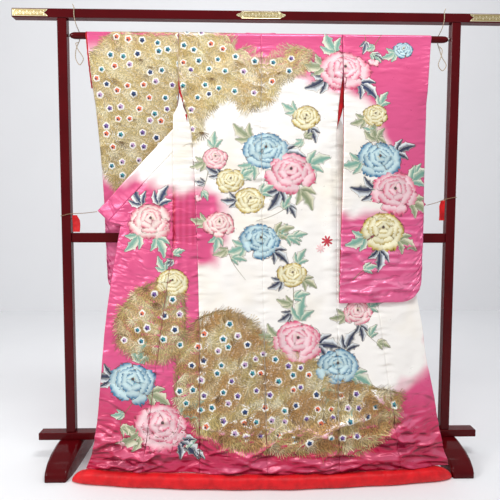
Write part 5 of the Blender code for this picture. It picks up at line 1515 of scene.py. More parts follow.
def rosettes(centre: Array, radius: Array, turn: Array, colour: Array, lobes: int, base: float,
             depth: float = 0.2, sides: int = 20) -> Patches:
    """Round blossoms in one patch each: r (1 + depth (|cos(lobes/2 t)| - 0.6)) round the centre."""
    angle = np.linspace(0, 2 * np.pi, sides + 1)
    share = np.linspace(0.0, 1.0, 4)[:, None]
    lobe = 1 + depth * (np.abs(np.cos(lobes / 2 * angle)) - 0.6)
    reach = radius[:, None, None] * share * (1 + (lobe - 1) * share)
    x = centre[:, 0][:, None, None] + reach * np.cos(angle + turn[:, None, None])
    z = centre[:, 1][:, None, None] + reach * np.sin(angle + turn[:, None, None])
    lift = base + 0.0011 * np.sqrt(1 - share ** 2) - 0.0008 * share ** 3 + 0 * x
    return Patches(x, z, lift, tinted(colour, x.shape), joined(reach * angle, reach))


def blended(first: Array, second: Colour, share: Array) -> Array:
    """Mix colours with another by a share."""
    return first * (1 - share) + np.array(second) * share


def blossoms(centre: Array, radius: Array, turn: Array, heart: Array) -> list[Patches]:
    """Plum blossoms: five pale lobes with a gold rim, a coloured heart and a dark eye."""
    count = len(centre)
    angle = np.linspace(0, 2 * np.pi, 26)
    reach = radius[:, None] * (1 + 0.2 * (np.abs(np.cos(2.5 * angle)) - 0.6)) * 1.04
    rim = joined(centre[:, :1] + reach * np.cos(angle + turn[:, None]),
                 centre[:, 1:] + reach * np.sin(angle + turn[:, None]))
    return [rosettes(centre, radius, turn, alike(linear(250, 247, 238), count), 5, 0.0014),
            rosettes(centre, radius * 0.7, turn, heart, 5, 0.0022, 0.3, 10),
            rosettes(centre - radius[:, None] * 0.16, radius * 0.32, turn, alike(linear(28, 34, 60), count),
                     5, 0.003, 0.1, 6),
            threads(rim, 0.0015, 0.0016, alike(GOLD, count))]


@dataclass(frozen=True)
class Peony:
    """A peony in the embroidery, with the directions of its leaves in degrees."""

    x: float
    z: float
    radius: float
    bloom: Bloom
    leaves: tuple[tuple[float, Leaf], ...] = ()
    turn: float = 0.0

    def stitched(self) -> list[Patches]:
        """Four rings of ruffled petals with thread rims, a small dark heart, and leaves in threes."""
        result = []
        r = self.radius
        centre = np.array([[self.x, self.z]])
        if self.leaves:
            ways, kinds = zip(*self.leaves)
            angle = np.radians(ways)
            root = centre + r * 0.8 * joined(np.cos(angle), np.sin(angle))
            result += leaflets(root, ways, kinds, (-44.0, 0.0, 42.0),
                               np.array([0.7, 1.05, 0.72]) * max(r, 0.062), 0.46)
        rings = ((8, 0.46, 0.6, 0.84, 0.0003), (7, 0.3, 0.5, 0.72, 0.0009), (5, 0.14, 0.42, 0.64, 0.0015),
                 (3, 0.02, 0.3, 0.5, 0.0021))
        heart = centre + r * np.array([[0.04, 0.14]])
        for ring, (count, start, length, width, base) in enumerate(rings):
            draw = steady(count, int(1000 * abs(self.x + 3 * self.z)) + ring)
            angle = self.turn + 2 * np.pi * (np.arange(count) + 0.55 * draw[:, 0]) / count + 0.5 * ring
            near = heart + (centre - heart) * start / 0.5
            root = near + r * start * joined(np.cos(angle), np.sin(angle) * 0.84)
            tones = np.array(self.bloom.value)[None] * (0.88 + 0.2 * draw[:, 1])[:, None, None]
            low = 1 - 0.16 * np.sin(angle)
            batch = petals(root, angle + 0.45 * (draw[:, 2] - 0.5),
                           r * length * low * (0.84 + 0.26 * draw[:, 3]),
                           r * width * (0.82 + 0.36 * draw[:, 0]), base + 0.0002 * draw[:, 1],
                           np.clip(tones, 0.0, 1.0), 6 * draw[:, 2])
            batch.z = self.z + 0.87 * (batch.z - self.z)
            result += [batch, petal_rims(batch, 0.0019)]
        dark = alike(linear(84, 66, 62), 1)
        result.append(rosettes(heart, np.array([r * 0.085]), np.zeros(1), dark, 5, 0.0031, 0.25, 10))
        draw = steady(8, int(777 * abs(self.x - self.z)))
        spin = 6.28 * draw[:, 0]
        knots = heart + r * (0.08 + 0.1 * draw[:, 1:2]) * joined(np.cos(spin), np.sin(spin))
        pale = alike(PALE_GOLD, 8)
        result.append(rosettes(knots, np.full(8, 0.0019), np.zeros(8), pale, 5, 0.0036, 0.0, 6))
        return result


@dataclass(frozen=True)
class Spray:
    """A stem through its own points, with leaves along it and a bud or a small blossom at its end."""

    points: Outline
    leaves: tuple[tuple[float, float, Leaf], ...]
    bud: Optional[Bloom] = None
    size: float = 0.05

    def stitched(self) -> list[Patches]:
        """The stem in laid thread, its leaves by share along it and angle, and the bud."""
        path = route_through([(x, 0.0, z) for x, z in self.points], 26)[:, (0, 2)]
        result = [threads(path[None], 0.0026, 0.0006, alike(BARK, 1), True)]
        if self.leaves:
            shares, ways, kinds = zip(*self.leaves)
            root = np.array([path[int(25 * share)] for share in shares])
            length = np.array([0.62, 1.0, 0.64]) * self.size
            result += leaflets(root, ways, kinds, (-34.0, 0.0, 32.0), length, 0.44)
        if self.bud is not None:
            tip, before = path[-1], path[-4]
            heading = math.atan2(tip[1] - before[1], tip[0] - before[0]) + np.array([-0.6, 0.6, 0.0])
            tones = np.broadcast_to(np.array(self.bud.value), (3, 3, 3))
            batch = petals(np.repeat(tip[None], 3, axis=0), heading, np.array([0.021, 0.021, 0.026]),
                           np.full(3, 0.018), np.array([0.0006, 0.0006, 0.0012]), tones, np.zeros(3))
            result += [batch, petal_rims(batch, 0.0011)]
        return result


@dataclass(frozen=True)
class GoldField:
    """A field of overlapping pine-needle fans in couched gold, strewn with plum blossoms."""

    outline: Outline
    root: Pair
    seed: int
    copper: float
    pitch: float = 0.0165
    blossom_pitch: float = 0.06

    def scattered(self, pitch: float, seed: int, margin: float) -> Array:
        """Jittered rows of places inside the outline, every other row set off by half a pitch."""
        corners = np.array(self.outline)
        low, high = corners.min(axis=0), corners.max(axis=0)
        rows = np.arange(low[1], high[1], pitch * 0.87)
        x, z = np.meshgrid(np.arange(low[0], high[0] + pitch, pitch), rows)
        x = x + (np.arange(len(rows)) % 2)[:, None] * pitch / 2
        jitter = np.random.default_rng(seed).random((*x.shape, 2)) - 0.5
        x, z = (x + jitter[..., 0] * pitch * 0.62).ravel(), (z + jitter[..., 1] * pitch * 0.62).ravel()
        keep = signed_distance(self.outline, x, z) > margin
        return joined(x[keep], z[keep])

    def outward(self, places: Array) -> Array:
        """Direction from the field's root to each place."""
        away = places - np.array(self.root)
        return np.arctan2(away[:, 1], away[:, 0])

    def fringe(self) -> Patches:
        """Long single needles that run out past the edge of the field, away from its root."""
        corners = np.array(self.outline)
        ends = np.roll(corners, -1, axis=0)
        counts = np.maximum((np.linalg.norm(ends - corners, axis=1) / 0.0022).astype(int), 1)
        rim = np.concatenate([a + (b - a) * np.linspace(0, 1, n, endpoint=False)[:, None]
                              for a, b, n in zip(corners, ends, counts)])
        draw = steady(len(rim), self.seed + 5)
        heading = self.outward(rim) + 0.8 * (draw[:, 0] - 0.5)
        way = joined(np.cos(heading), np.sin(heading))
        start = rim - way * (0.03 * draw[:, 1:2] + 0.004)
        length = (0.026 + 0.026 * draw[:, 2])[:, None, None] * np.linspace(0, 1, 4)[:, None]
        share = draw[:, 3:]
        bend = joined(-way[:, 1], way[:, 0])[:, None] * (share - 0.5)[:, None]
        path = start[:, None] + way[:, None] * length + bend * length ** 2 * 14
        tone = blended(np.array(GOLD), UMBER if self.copper > 0.5 else PALE_GOLD, share)
        return threads(path, 0.0015, 0.0008, tone, True)

    def stitched(self) -> list[Patches]:
        """All the fans, then the blossoms over them."""
        places = self.scattered(self.pitch, self.seed, 0.002)
        count, needles = len(places), 9
        draw = steady(count, self.seed + 1)
        heading = self.outward(places) + 0.7 * (draw[:, 0] - 0.5)
        reach = 0.026 + 0.012 * draw[:, 1]
        fan = np.radians(np.linspace(-72, 72, needles))
        angle = heading[:, None] + fan + 0.1 * (draw[:, 2:3] - 0.5)
        far = reach[:, None] * (0.86 + 0.14 * np.cos(fan * 1.2))
        way = joined(np.cos(angle), np.sin(angle))
        path = places[:, None, None] + way[:, :, None] * np.stack([0.0022 + 0 * far, far], axis=2)[..., None]
        rust = ease(-0.9, 0.5, waves(places[:, 0], places[:, 1], self.seed, 0.2, 0.07, 6)) * self.copper
        rust = rust[:, None]
        tone = blended(np.array(GOLD), COPPER, rust)
        tone = blended(tone, PALE_GOLD, ease(0.35, 0.9, draw[:, 3])[:, None] * (1 - rust))
        tone = blended(tone, UMBER, ease(0.7, 1.0, draw[:, 0] * 0.5 + draw[:, 2] * 0.5)[:, None])
        lines = np.repeat(tone, needles, axis=0) * (0.72 + 0.48 * (np.arange(count * needles) % 2))[:, None]
        lift = np.repeat(0.0007 + 0.0006 * draw[:, 2], needles)[:, None]
        result = [threads(path.reshape(-1, 2, 2), 0.0022, lift, np.clip(lines, 0.0, 1.0)), self.fringe()]
        places = self.scattered(self.blossom_pitch, self.seed + 2, 0.014)
        draw = steady(len(places), self.seed + 3, 3)
        hearts = np.array(HEARTS)[(draw[:, 0] * len(HEARTS)).astype(int)]
        return result + blossoms(places, 0.014 + 0.003 * draw[:, 1], 6.28 * draw[:, 2], hearts)


SLEEVE_FIELD = GoldField((
    (-0.65, 1.6), (-0.6, 1.65), (-0.545, 1.712), (-0.29, 1.712), (-0.29, 1.25), (-0.5, 1.11),
    (-0.56, 1.085), (-0.625, 1.2), (-0.645, 1.353)), (-0.2, 1.9), 101, 0.25)
SHOULDER_FIELD = GoldField((
    (-0.345, 1.712), (-0.14, 1.712), (-0.105, 1.655), (-0.12, 1.56), (-0.11, 1.467), (-0.185, 1.4),
    (-0.235, 1.365), (-0.225, 1.3), (-0.262, 1.275), (-0.29, 1.33), (-0.33, 1.427)), (-0.02, 1.8), 111, 0.25)
SKIRT_FIELD = GoldField((
    (-0.3, 0.52), (-0.22, 0.61), (-0.14, 0.632), (-0.043, 0.591), (0.01, 0.507), (0.142, 0.488),
    (0.254, 0.385), (0.4, 0.35), (0.515, 0.325), (0.5, 0.236), (0.382, 0.128), (0.103, 0.131),
    (-0.117, 0.151), (-0.227, 0.2), (-0.32, 0.307)), (-0.36, 0.56), 121, 0.85)
BOUGH_FIELD = GoldField((
    (-0.125, 1.6), (-0.06, 1.63), (0.02, 1.575), (0.11, 1.64), (0.19, 1.622), (0.17, 1.56), (0.08, 1.505),
    (0.03, 1.43), (-0.06, 1.392), (-0.12, 1.455)), (0.03, 1.7), 131, 0.4, 0.0185, 0.074)
CORNER_FIELD = GoldField((
    (-0.54, 0.61), (-0.47, 0.7), (-0.38, 0.74), (-0.292, 0.7), (-0.285, 0.5), (-0.36, 0.45), (-0.47, 0.47),
    (-0.535, 0.5)), (-0.3, 0.86), 141, 0.6, 0.0175, 0.066)


SLIT_PEONY = Peony(
    0.322, 1.548, 0.094, PINK, ((205, INK), (115, GREEN), (170, MOSS), (318, NAVY)), 0.3)
PEONIES = (SLIT_PEONY, *(Peony(*row) for row in (
    (0.173, 1.364, 0.055, YELLOW, ((150, GREEN), (290, INK)), 1.1),
    (0.015, 1.235, 0.087, TEAL, ((140, MOSS), (230, GREEN), (350, INK)), 0.7),
    (0.11, 1.152, 0.093, PINK, ((20, GREEN), (300, MOSS), (240, INK)), 0.1),
    (-0.005, 0.894, 0.076, TEAL, ((200, GREEN), (320, INK), (20, MOSS)), 0.5),
    (-0.043, 1.045, 0.059, YELLOW, ((30, GREEN), (180, INK)), 0.9),
    (0.115, 0.767, 0.055, YELLOW, ((60, GREEN), (330, MOSS), (210, INK)), 0.2),
    (0.132, 0.521, 0.093, PINK, ((80, GREEN), (170, MOSS), (350, INK)), 0.8),
    (0.281, 0.427, 0.083, TEAL, ((60, INK), (330, GREEN), (250, MOSS)), 0.4),
    (0.362, 0.622, 0.057, BLUSH, ((20, GREEN), (190, MOSS), (280, INK)), 0.6),
    (-0.481, 0.368, 0.091, TEAL, ((70, GREEN), (170, INK), (330, MOSS)), 0.3),
    (-0.367, 0.215, 0.1, PINK, ((30, GREEN), (200, MOSS), (320, INK)), 0.9),
    (-0.336, 0.736, 0.061, YELLOW, ((120, GREEN), (250, MOSS)), 0.5),
    (-0.425, 0.965, 0.084, SHELL, ((118, NAVY), (62, NAVY), (230, GREEN), (292, GREEN)), 0.2),
    (-0.176, 1.205, 0.048, BLUSH, ((90, GREEN), (200, MOSS)), 0.8),
    (-0.118, 1.12, 0.055, YELLOW, ((150, INK), (20, GREEN)), 0.1),
    (-0.16, 0.955, 0.059, SHELL, ((170, MOSS), (260, GREEN)), 0.7))))
SLEEVE_PEONIES = (SLIT_PEONY, *(Peony(*row) for row in (
    (0.44, 1.374, 0.05, YELLOW, ((60, GREEN), (200, MOSS)), 0.3),
    (0.458, 1.206, 0.087, TEAL, ((100, MOSS), (190, GREEN), (20, INK)), 0.6),
    (0.52, 1.079, 0.099, PINK, ((30, GREEN), (175, INK), (330, MOSS)), 0.2),
    (0.468, 0.93, 0.089, YELLOW, ((200, GREEN), (330, MOSS), (260, INK)), 0.9),
    (0.554, 1.63, 0.038, TEAL, ((200, GREEN),), 0.4))))
SPRAYS = tuple(Spray(*row) for row in (
    (((0.172, 1.335), (0.166, 1.285), (0.148, 1.235)), ((0.5, 20, MOSS), (0.62, 205, GREEN))),
    (((0.112, 1.08), (0.095, 1.02), (0.04, 0.985), (-0.02, 0.965)), ((0.3, 300, INK), (0.42, 60, GREEN)),
     None, 0.06),
    (((-0.13, 0.87), (-0.11, 0.815), (-0.06, 0.745)), ((0.1, 200, MOSS), (0.35, 350, GREEN)), None, 0.062),
    (((0.118, 0.73), (0.12, 0.68), (0.11, 0.61)), ((0.45, 15, GREEN), (0.6, 165, MOSS), (0.85, 215, INK)),
     None, 0.066),
    (((0.03, 0.88), (0.08, 0.905), (0.125, 0.9)), ((0.45, 60, GREEN), (0.7, 330, GREEN), (0.95, 15, GREEN)),
     None, 0.062),
    (((-0.2, 1.16), (-0.215, 1.1), (-0.235, 1.06)), ((0.5, 170, INK), (0.8, 300, GREEN)), PINK, 0.046),
    (((0.29, 0.34), (0.33, 0.3), (0.35, 0.245)), ((0.4, 20, MOSS), (0.7, 240, GREEN))),
    (((-0.3, 0.16), (-0.265, 0.13), (-0.225, 0.12)), ((0.45, 45, GREEN), (0.75, 330, INK))),
    (((-0.48, 0.29), (-0.52, 0.23), (-0.515, 0.16)), ((0.35, 190, GREEN), (0.7, 330, MOSS)), BLUSH, 0.056),
    (((-0.35, 0.88), (-0.33, 0.83), (-0.34, 0.78)), ((0.45, 20, GREEN), (0.65, 200, INK))),
    (((0.385, 0.56), (0.42, 0.52), (0.45, 0.5)), ((0.45, 60, GREEN), (0.8, 340, MOSS)), None, 0.056)))
SLEEVE_SPRAYS = tuple(Spray(*row) for row in (
    (((0.442, 1.335), (0.44, 1.3), (0.448, 1.27)), ((0.3, 170, GREEN), (0.7, 330, MOSS))),
    (((0.345, 0.745), (0.385, 0.78), (0.425, 0.815)), ((0.55, 10, GREEN),), None, 0.064),
    (((0.47, 1.69), (0.44, 1.64), (0.43, 1.59)), ((0.5, 200, GREEN), (0.8, 330, INK)), PINK, 0.05),
    (((0.405, 1.69), (0.412, 1.64), (0.44, 1.585)), ((0.25, 255, NAVY), (0.75, 320, GREEN)), BLUSH, 0.056),
    (((0.595, 1.185), (0.61, 1.15), (0.605, 1.11)), ((0.5, 60, GREEN),))))


@dataclass
class Ground:
    """A stretch of silk that takes embroidery: its two edges, its outer face and its ends."""

    name: str
    low: Callable[[Array], Array]
    high: Callable[[Array], Array]
    depth: Relief
    bottom: float = HEM_Z + 0.003
    top: float = ROD_AXIS + 0.0145
    margin: float = 0.0008

    def takes(self, patches: Patches) -> Array:
        """Tell which patches of a batch reach onto this ground."""
        z = np.clip(patches.z, self.bottom, self.top)
        inside = (patches.x > self.low(z)) & (patches.x < self.high(z))
        inside &= (patches.z > self.bottom) & (patches.z < self.top)
        return inside.any(axis=(1, 2))

    def sewn(self, batches: Sequence[Patches], palette: Palette) -> Item:
        """Sew the parts of the batches that reach this ground onto it, as one piece.

        Points past an edge are drawn back to it, and the faces that this shuts are left out.
        """
        places, faces, looks, uvs, tones, first = [], [], [], [], [], 0
        for batch in batches:
            keep = self.takes(batch)
            if not keep.any():
                continue
            z = np.clip(batch.z[keep], self.bottom, self.top)
            x = np.clip(batch.x[keep], self.low(z) + self.margin, self.high(z) - self.margin)
            face = self.depth(x, np.minimum(z, ROD_AXIS))
            lift = batch.lift[keep]
            turn = np.arcsin(np.clip((z - ROD_AXIS) / -face, 0.0, 0.97))
            over = z > ROD_AXIS
            y = np.where(over, (face - lift) * np.cos(turn), face - lift)
            z = np.where(over, ROD_AXIS + (lift - face) * np.sin(turn), z)
            grid = joined(x, y, z)
            count, rows, columns = x.shape
            one = grid_faces(rows, columns)
            face = (one[None] + (np.arange(count) * rows * columns)[:, None, None]).reshape(-1, 4)
            points = grid.reshape(-1, 3)
            corner = points[face]
            normal = np.cross(corner[:, 2] - corner[:, 0], corner[:, 3] - corner[:, 1])
            face = np.where((normal[:, 1] > 0)[:, None], face[:, ::-1], face)
            face = face[np.linalg.norm(normal, axis=1) > 2e-9]
            places.append(points)
            faces.append(face + first)
            looks.append(np.full(len(face), float(batch.gold)))
            uvs.append(batch.uv[keep].reshape(-1, 2))
            tones.append(batch.colour[keep].reshape(-1, 3))
            first += len(points)
        face = np.concatenate(faces)
        used, index = np.unique(face.ravel(), return_inverse=True)
        shell = Shell(np.concatenate(places)[used], index.reshape(-1, 4), np.concatenate(looks),
                      np.concatenate(uvs)[used], {"stitch": np.concatenate(tones)[used]})
        return add_piece(f"embroidery_{self.name}", shell, (palette.floss, palette.gold),
                         solid=False)


def pleat_face(drape: Drape, x: Array, z: Array) -> Array:
    """Depth of the left front: swelling from seam to pleat edge where the pleat stands, else the face."""
    seam = BACK_LEFT.at(z) - 0.0004
    standing = ease(-0.006, 0.012, OVERLAP_LEFT.at(z) - PLEAT_EDGE_X)
    share = np.clip((x - seam) / (PLEAT_EDGE_X - seam), 0.0, 1.0)
    low = drape.depth(seam, z)
    high = drape.depth(PLEAT_EDGE_X + 0 * z, z) - PLEAT_SWELL * standing
    top = low + (high - low) * share - PLEAT_SWELL * standing * swelling(share)
    return standing * top + (1 - standing) * drape.depth(x, z)


@dataclass
class Embroidery:
    """All the needlework, sewn ground by ground."""

    drape: Drape
    left: Sleeve
    right: Sleeve

    def grounds(self) -> dict[str, list[Ground]]:
        """The grounds of the robe and of each sleeve."""
        half = CLOTH / 2
        plain = lambda x, z: self.drape.depth(x, z) - half
        tucked = lambda x, z: self.drape.depth(x, z) + tuck_behind(x, z) - half
        pleat = lambda x, z: pleat_face(self.drape, x, z) - half
        collar = lambda z: np.maximum(EDGE_LEFT.at(z), -0.283 - 0.309 * (1.285 - z) / 0.323)
        fold = lambda z: np.where(z > 0.87, PLEAT_EDGE_X, OVERLAP_LEFT.at(z))
        outside = lambda z: np.minimum(OVERLAP_LEFT.at(z), np.where(z > 0.872, PLEAT_EDGE_X - 0.003, 1.0))
        robe = [Ground("back_left", BACK_LEFT.at, MIDDLE.at, plain),
                Ground("back_right", MIDDLE.at, BACK_RIGHT.at, plain),
                Ground("front_left", fold, BACK_LEFT.at, pleat, top=1.26),
                Ground("overlap_left", collar, outside, plain, top=1.27),
                Ground("front_right", BACK_RIGHT.at, OVERLAP_RIGHT.at, tucked, top=0.8),
                Ground("overlap_right", OVERLAP_RIGHT.at, EDGE_RIGHT.at, tucked, top=0.8)]
        sleeves = {}
        for label, sleeve, low, high in (("sleeve_left", self.left, SLEEVE_OUT_LEFT, SLEEVE_IN_LEFT),
                                         ("sleeve_right", self.right, SLEEVE_IN_RIGHT, SLEEVE_OUT_RIGHT)):
            depth = lambda x, z, sleeve=sleeve: sleeve.face(x, z, -1)
            sleeves[label] = [Ground(label, low.at, high.at, depth, bottom=0.668)]
        return {"robe": robe, **sleeves}

    def build(self, palette: Palette) -> dict[str, Item]:
        """Stitch every field and flower and return the pieces by ground."""
        fields = [batch for one in (SHOULDER_FIELD, SKIRT_FIELD, BOUGH_FIELD, CORNER_FIELD)
                  for batch in one.stitched()]
        tiny = np.array([[0.249, 0.89], [0.224, 0.862]])
        stars = np.array([linear(196, 36, 58), linear(246, 206, 206)])
        sparks = rosettes(tiny, np.array([0.0165, 0.014]), np.array([0.3, 0.8]), stars, 8, 0.001, 0.9, 32)
        work = {"robe": [*fields, sparks, *(batch for one in SPRAYS + PEONIES for batch in one.stitched())],
                "sleeve_left": SLEEVE_FIELD.stitched(),
                "sleeve_right": [batch for one in SLEEVE_SPRAYS + SLEEVE_PEONIES for batch in one.stitched()]}
        result = {}
        for part, grounds in self.grounds().items():
            for ground in grounds:
                result[ground.name] = ground.sewn(work[part], palette)
        return result


# ---------------------------------------------------------------- the stand
@dataclass
class Stand:
    """The lacquered stand: bars from the solids, and turned, carved and gilt parts made finer."""

    pin_radius: float = 0.0055
    plate_half_height: float = 0.0132
    plate_length: float = 0.134
    foot_rows: tuple[tuple[float, float, float, float], ...] = (
        (0.0, 0.0506, 0.0386, 0.0826), (0.04, 0.0505, 0.0385, 0.0817), (0.105, 0.05, 0.038, 0.07),
        (0.15, 0.047, 0.0365, 0.055), (0.184, 0.0425, 0.0345, 0.037), (0.197, 0.0395, 0.033, 0.024),
        (0.2, 0.0377, 0.0325, 0.012))

    @staticmethod
    def filleted(corners: Array, radius: float, steps: int = 4) -> Array:
        """Round the corners of sections: a quadratic curve between the points a radius from each."""
        before = np.roll(corners, 1, axis=1) - corners
        after = np.roll(corners, -1, axis=1) - corners
        before *= radius / np.maximum(np.linalg.norm(before, axis=2, keepdims=True), radius * 2)
        after *= radius / np.maximum(np.linalg.norm(after, axis=2, keepdims=True), radius * 2)
        t = np.linspace(0, 1, steps)[None, None, :, None]
        curve = corners[:, :, None] + (1 - t) ** 2 * before[:, :, None] + t ** 2 * after[:, :, None]
        return curve.reshape(len(corners), -1, corners.shape[2])

    def foot(self, label: str, x: float, palette: Palette) -> None:
        """A foot from front to back, its top edges sloped off and its ends curved down."""
        rows = np.array(self.foot_rows)
        reach = 0.2 * np.sin(np.linspace(0, np.pi / 2, 26))
        bottom, top, tall = (np.interp(reach, rows[:, 0], rows[:, column]) for column in (1, 2, 3))
        reach = np.concatenate([-reach[:0:-1], reach])
        bottom, top, tall = (np.concatenate([value[:0:-1], value]) for value in (bottom, top, tall))
        shoulder = tall * 0.86
        corners = np.stack([joined(x - bottom, reach, 0.0), joined(x + bottom, reach, 0.0),
                            joined(x + bottom, reach, shoulder), joined(x + top, reach, tall),
                            joined(x - top, reach, tall), joined(x - bottom, reach, shoulder)], axis=1)
        add_piece(f"carved_foot_{label}", loft(self.filleted(corners, 0.0022)), (palette.lacquer,),
                  (f"foot_{label}",))

    @staticmethod
    def turned(stations: Sequence[Pair], sides: int) -> Shell:
        """A bar turned about the rod's axis, from pairs of x and radius."""
        angle = np.linspace(0, 2 * np.pi, sides, endpoint=False)
        x, radius = (np.array(column)[:, None] for column in zip(*stations))
        return loft(joined(x, radius * np.cos(angle), ROD_AXIS + radius * np.sin(angle)))

    def plate(self, place: str, across: Callable[[Array], tuple[Array, Array]], away: int,
              palette: Palette) -> None:
        """A stamped gilt plate on one face of the beam: raised rim, running scroll and domed nails.

        Args:
            place: Where on the beam it lies, left, middle or right.
            across: Gives the two ends in x at each height, from -1 to 1.
            away: -1 on the near face and 1 on the far one.
            palette: The finishes.
        """
        v = np.sin(np.linspace(-np.pi / 2, np.pi / 2, 24))
        u = np.linspace(0, 1, 127)[:, None]
        tall = v * self.plate_half_height
        start, end = across(v)
        x = start + (end - start) * u
        inset = np.minimum(np.minimum(u, 1 - u) * (end - start), (1 - np.abs(v)) * self.plate_half_height)
        rim = ease(0.0, 0.0005, inset) * ease(0.0022, 0.0012, inset)
        wave = np.sin(x * 2 * np.pi / 0.026)
        curl = np.hypot((np.mod(x / 0.013, 1.0) - 0.5) * 0.013, tall + 0.0036 * np.sign(wave))
        leaf = bell(curl - 0.0026, 0.0008) + bell(curl, 0.0011)
        scroll = np.maximum(bell(tall - 0.0042 * wave, 0.0009), leaf) * 0.8 * ease(0.0022, 0.0036, inset)
        relief = np.clip(np.maximum(rim, scroll), 0, 1)
        nails = np.zeros_like(x)
        for nail_x in (start + 0.01, end - 0.01):
            for nail_z in (-0.62, 0.62):
                off = np.hypot(x - nail_x, (v - nail_z) * self.plate_half_height)
                nails = np.maximum(nails, np.sqrt(np.maximum(1 - (off / 0.0019) ** 2, 0.0)))
        height = 0.0006 + 0.0006 * relief + 0.0008 * nails
        face = away * (BEAM_DEPTH / 2 + GAP)
        z = BEAM_BOTTOM + BEAM_HEIGHT / 2 + tall
        shell = paired(joined(x, face + away * height, z), joined(x, face, z), joined(x, z))
        shell.look = None
        shell.values = {"relief": np.tile(np.maximum(relief, nails).ravel(), 2)}
        label = f"{place}_{'front' if away < 0 else 'rear'}"
        add_piece(f"gilt_{label}", shell, (palette.gilt,), (f"plate_{label}",))

    def plates(self, palette: Palette) -> None:
        """Gilt plates: swallow-tailed ends and a pointed middle, on both faces of the beam."""
        end = BEAM_LENGTH / 2 - 0.0035
        tail = end - self.plate_length

        def swallow(v: Array) -> tuple[Array, Array]:
            """Ends of the right-hand plate."""
            return tail + np.interp(np.abs(v), [0.0, 0.45, 1.0], [0.016, 0.006, 0.0]), end + 0 * v

        def mirrored(v: Array) -> tuple[Array, Array]:
            """Ends of the left-hand plate."""
            inner, outer = swallow(v)
            return -outer, -inner

        def pointed(v: Array) -> tuple[Array, Array]:
            """Ends of the middle plate."""
            reach = np.interp(np.abs(v), [0.0, 0.42, 0.5, 1.0], [0.096, 0.088, 0.08, 0.074])
            return -reach, reach

        for away in (-1, 1):
            self.plate("left", mirrored, away, palette)
            self.plate("middle", pointed, away, palette)
            self.plate("right", swallow, away, palette)

    def build(self, palette: Palette) -> None:
        """Lacquer the bars and make the rod, pins, feet and plates."""
        for node in ("beam", "rail", "post_left", "post_right", "plank_left", "plank_right"):
            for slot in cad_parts[node].material_slots:
                slot.material = palette.lacquer
        half = ROD_LENGTH / 2
        taper = [(half - 0.022 + 0.022 * t, ROD_RADIUS * (1 - 0.38 * t ** 2.4)) for t in np.linspace(0, 1, 7)]
        stations = [(-x, radius) for x, radius in taper[::-1]] + taper
        add_piece("lacquered_rod", self.turned(stations, 48), (palette.lacquer,), ("rod",))
        low, high, r = half + GAP, POST_PITCH / 2 - POST_WIDTH / 2 - GAP, self.pin_radius
        for sign, label in SIDES.items():
            shell = self.turned(((sign * low, r * 0.9), (sign * (low + 0.0008), r),
                                 (sign * (high - 0.0008), r), (sign * high, r * 0.9)), 32)
            shell.values = {"relief": np.ones(len(shell.points))}
            add_piece(f"steel_pin_{label}", shell, (palette.steel,), (f"pin_{label}",))
            self.foot(label, sign * POST_PITCH / 2, palette)
        self.plates(palette)


# ---------------------------------------------------------------- cords and ribbons
@dataclass(frozen=True)
class Loop:
    """A twine's own sizes: strand, crossing under the rod and hanging loop."""

    label: str
    sign: int
    strand: float
    neck: float
    neck_drop: float
    middle: float
    half: float
    drop: float

    def knots(self) -> list[Point]:
        """Places that the twine passes: over the beam's front, behind the rod, round its loop and back."""
        front = -BEAM_DEPTH / 2 - 0.003
        rear = ROD_RADIUS + 0.0024
        top = BEAM_BOTTOM + BEAM_HEIGHT
        neck_z = ROD_AXIS - self.neck_drop
        low_z = ROD_AXIS - self.drop
        side_z = low_z + 0.017
        half_way = (ROD_AXIS - 0.012 + neck_z) / 2
        strand, neck, middle = self.strand, self.neck, self.middle
        knots = ((strand + 0.006, front + 0.004, top + 0.016), (strand, front + 0.0012, top + 0.0035),
                 (strand, front, top - 0.01), (strand, front, BEAM_BOTTOM + 0.008),
                 (strand - 0.004, front + 0.01, BEAM_BOTTOM - 0.022),
                 (strand - 0.009, rear + 0.002, ROD_AXIS + 0.01),
                 (strand - 0.009, rear + 0.001, ROD_AXIS - 0.008),
                 ((strand + neck) / 2 - 0.004, 0.009, half_way), (neck + 0.0016, 0.004, neck_z),
                 (middle + self.half, 0.001, side_z), (middle, -0.003, low_z),
                 (middle - self.half, -0.004, side_z), (neck - 0.0016, -0.003, neck_z),
                 ((strand + neck) / 2 + 0.001, -0.001, half_way),
                 (strand - 0.0075, 0.002, ROD_AXIS - 0.026))
        return [(self.sign * x, y, z) for x, y, z in knots]


@dataclass(frozen=True)
class Tie:
    """A tie's own sizes: the collar tip that it leaves and its turn round the post."""

    label: str
    sign: int
    run: CollarRun
    level: float
    rise: float

    def knots(self, drape: Drape) -> list[Point]:
        """Places that the tie passes: from the collar tip to the post and once round it."""
        tip_x, tip_z = self.run.tip
        y = float(drape.main(np.array(tip_x), np.array(tip_z)))
        if self.sign > 0:
            y += float(tuck_behind(np.array(tip_x), np.array(tip_z)))
        start, low = abs(tip_x) + 0.0035, tip_z - 0.0035
        clear = TIE_DIAMETER / 2 + 0.0009
        out = POST_PITCH / 2 + POST_WIDTH / 2 + clear
        inside = POST_PITCH / 2 - POST_WIDTH / 2 - clear
        deep = POST_DEPTH / 2 + clear
        high = self.level + self.rise
        knots = ((start, y, low),
                 ((start + inside) / 2, (y - deep) / 2 - 0.001, (low + self.level) / 2 - 0.002),
                 (inside + 0.001, -deep * 0.94, self.level - 0.0005),
                 (inside + 0.012, -deep, self.level + self.rise * 0.25),
                 (out - 0.012, -deep, self.level + self.rise * 0.8), (out - 0.0012, -deep * 0.93, high),
                 (out, 0.0, high - 0.001), (out - 0.0012, deep * 0.93, high - 0.003),
                 (out - 0.018, deep, high - 0.006), (inside + 0.0012, deep * 0.93, high - 0.009),
                 (inside, 0.0, high - 0.012), (inside - 0.001, -deep * 0.55, high - 0.013))
        return [(self.sign * x, y, z) for x, y, z in knots]


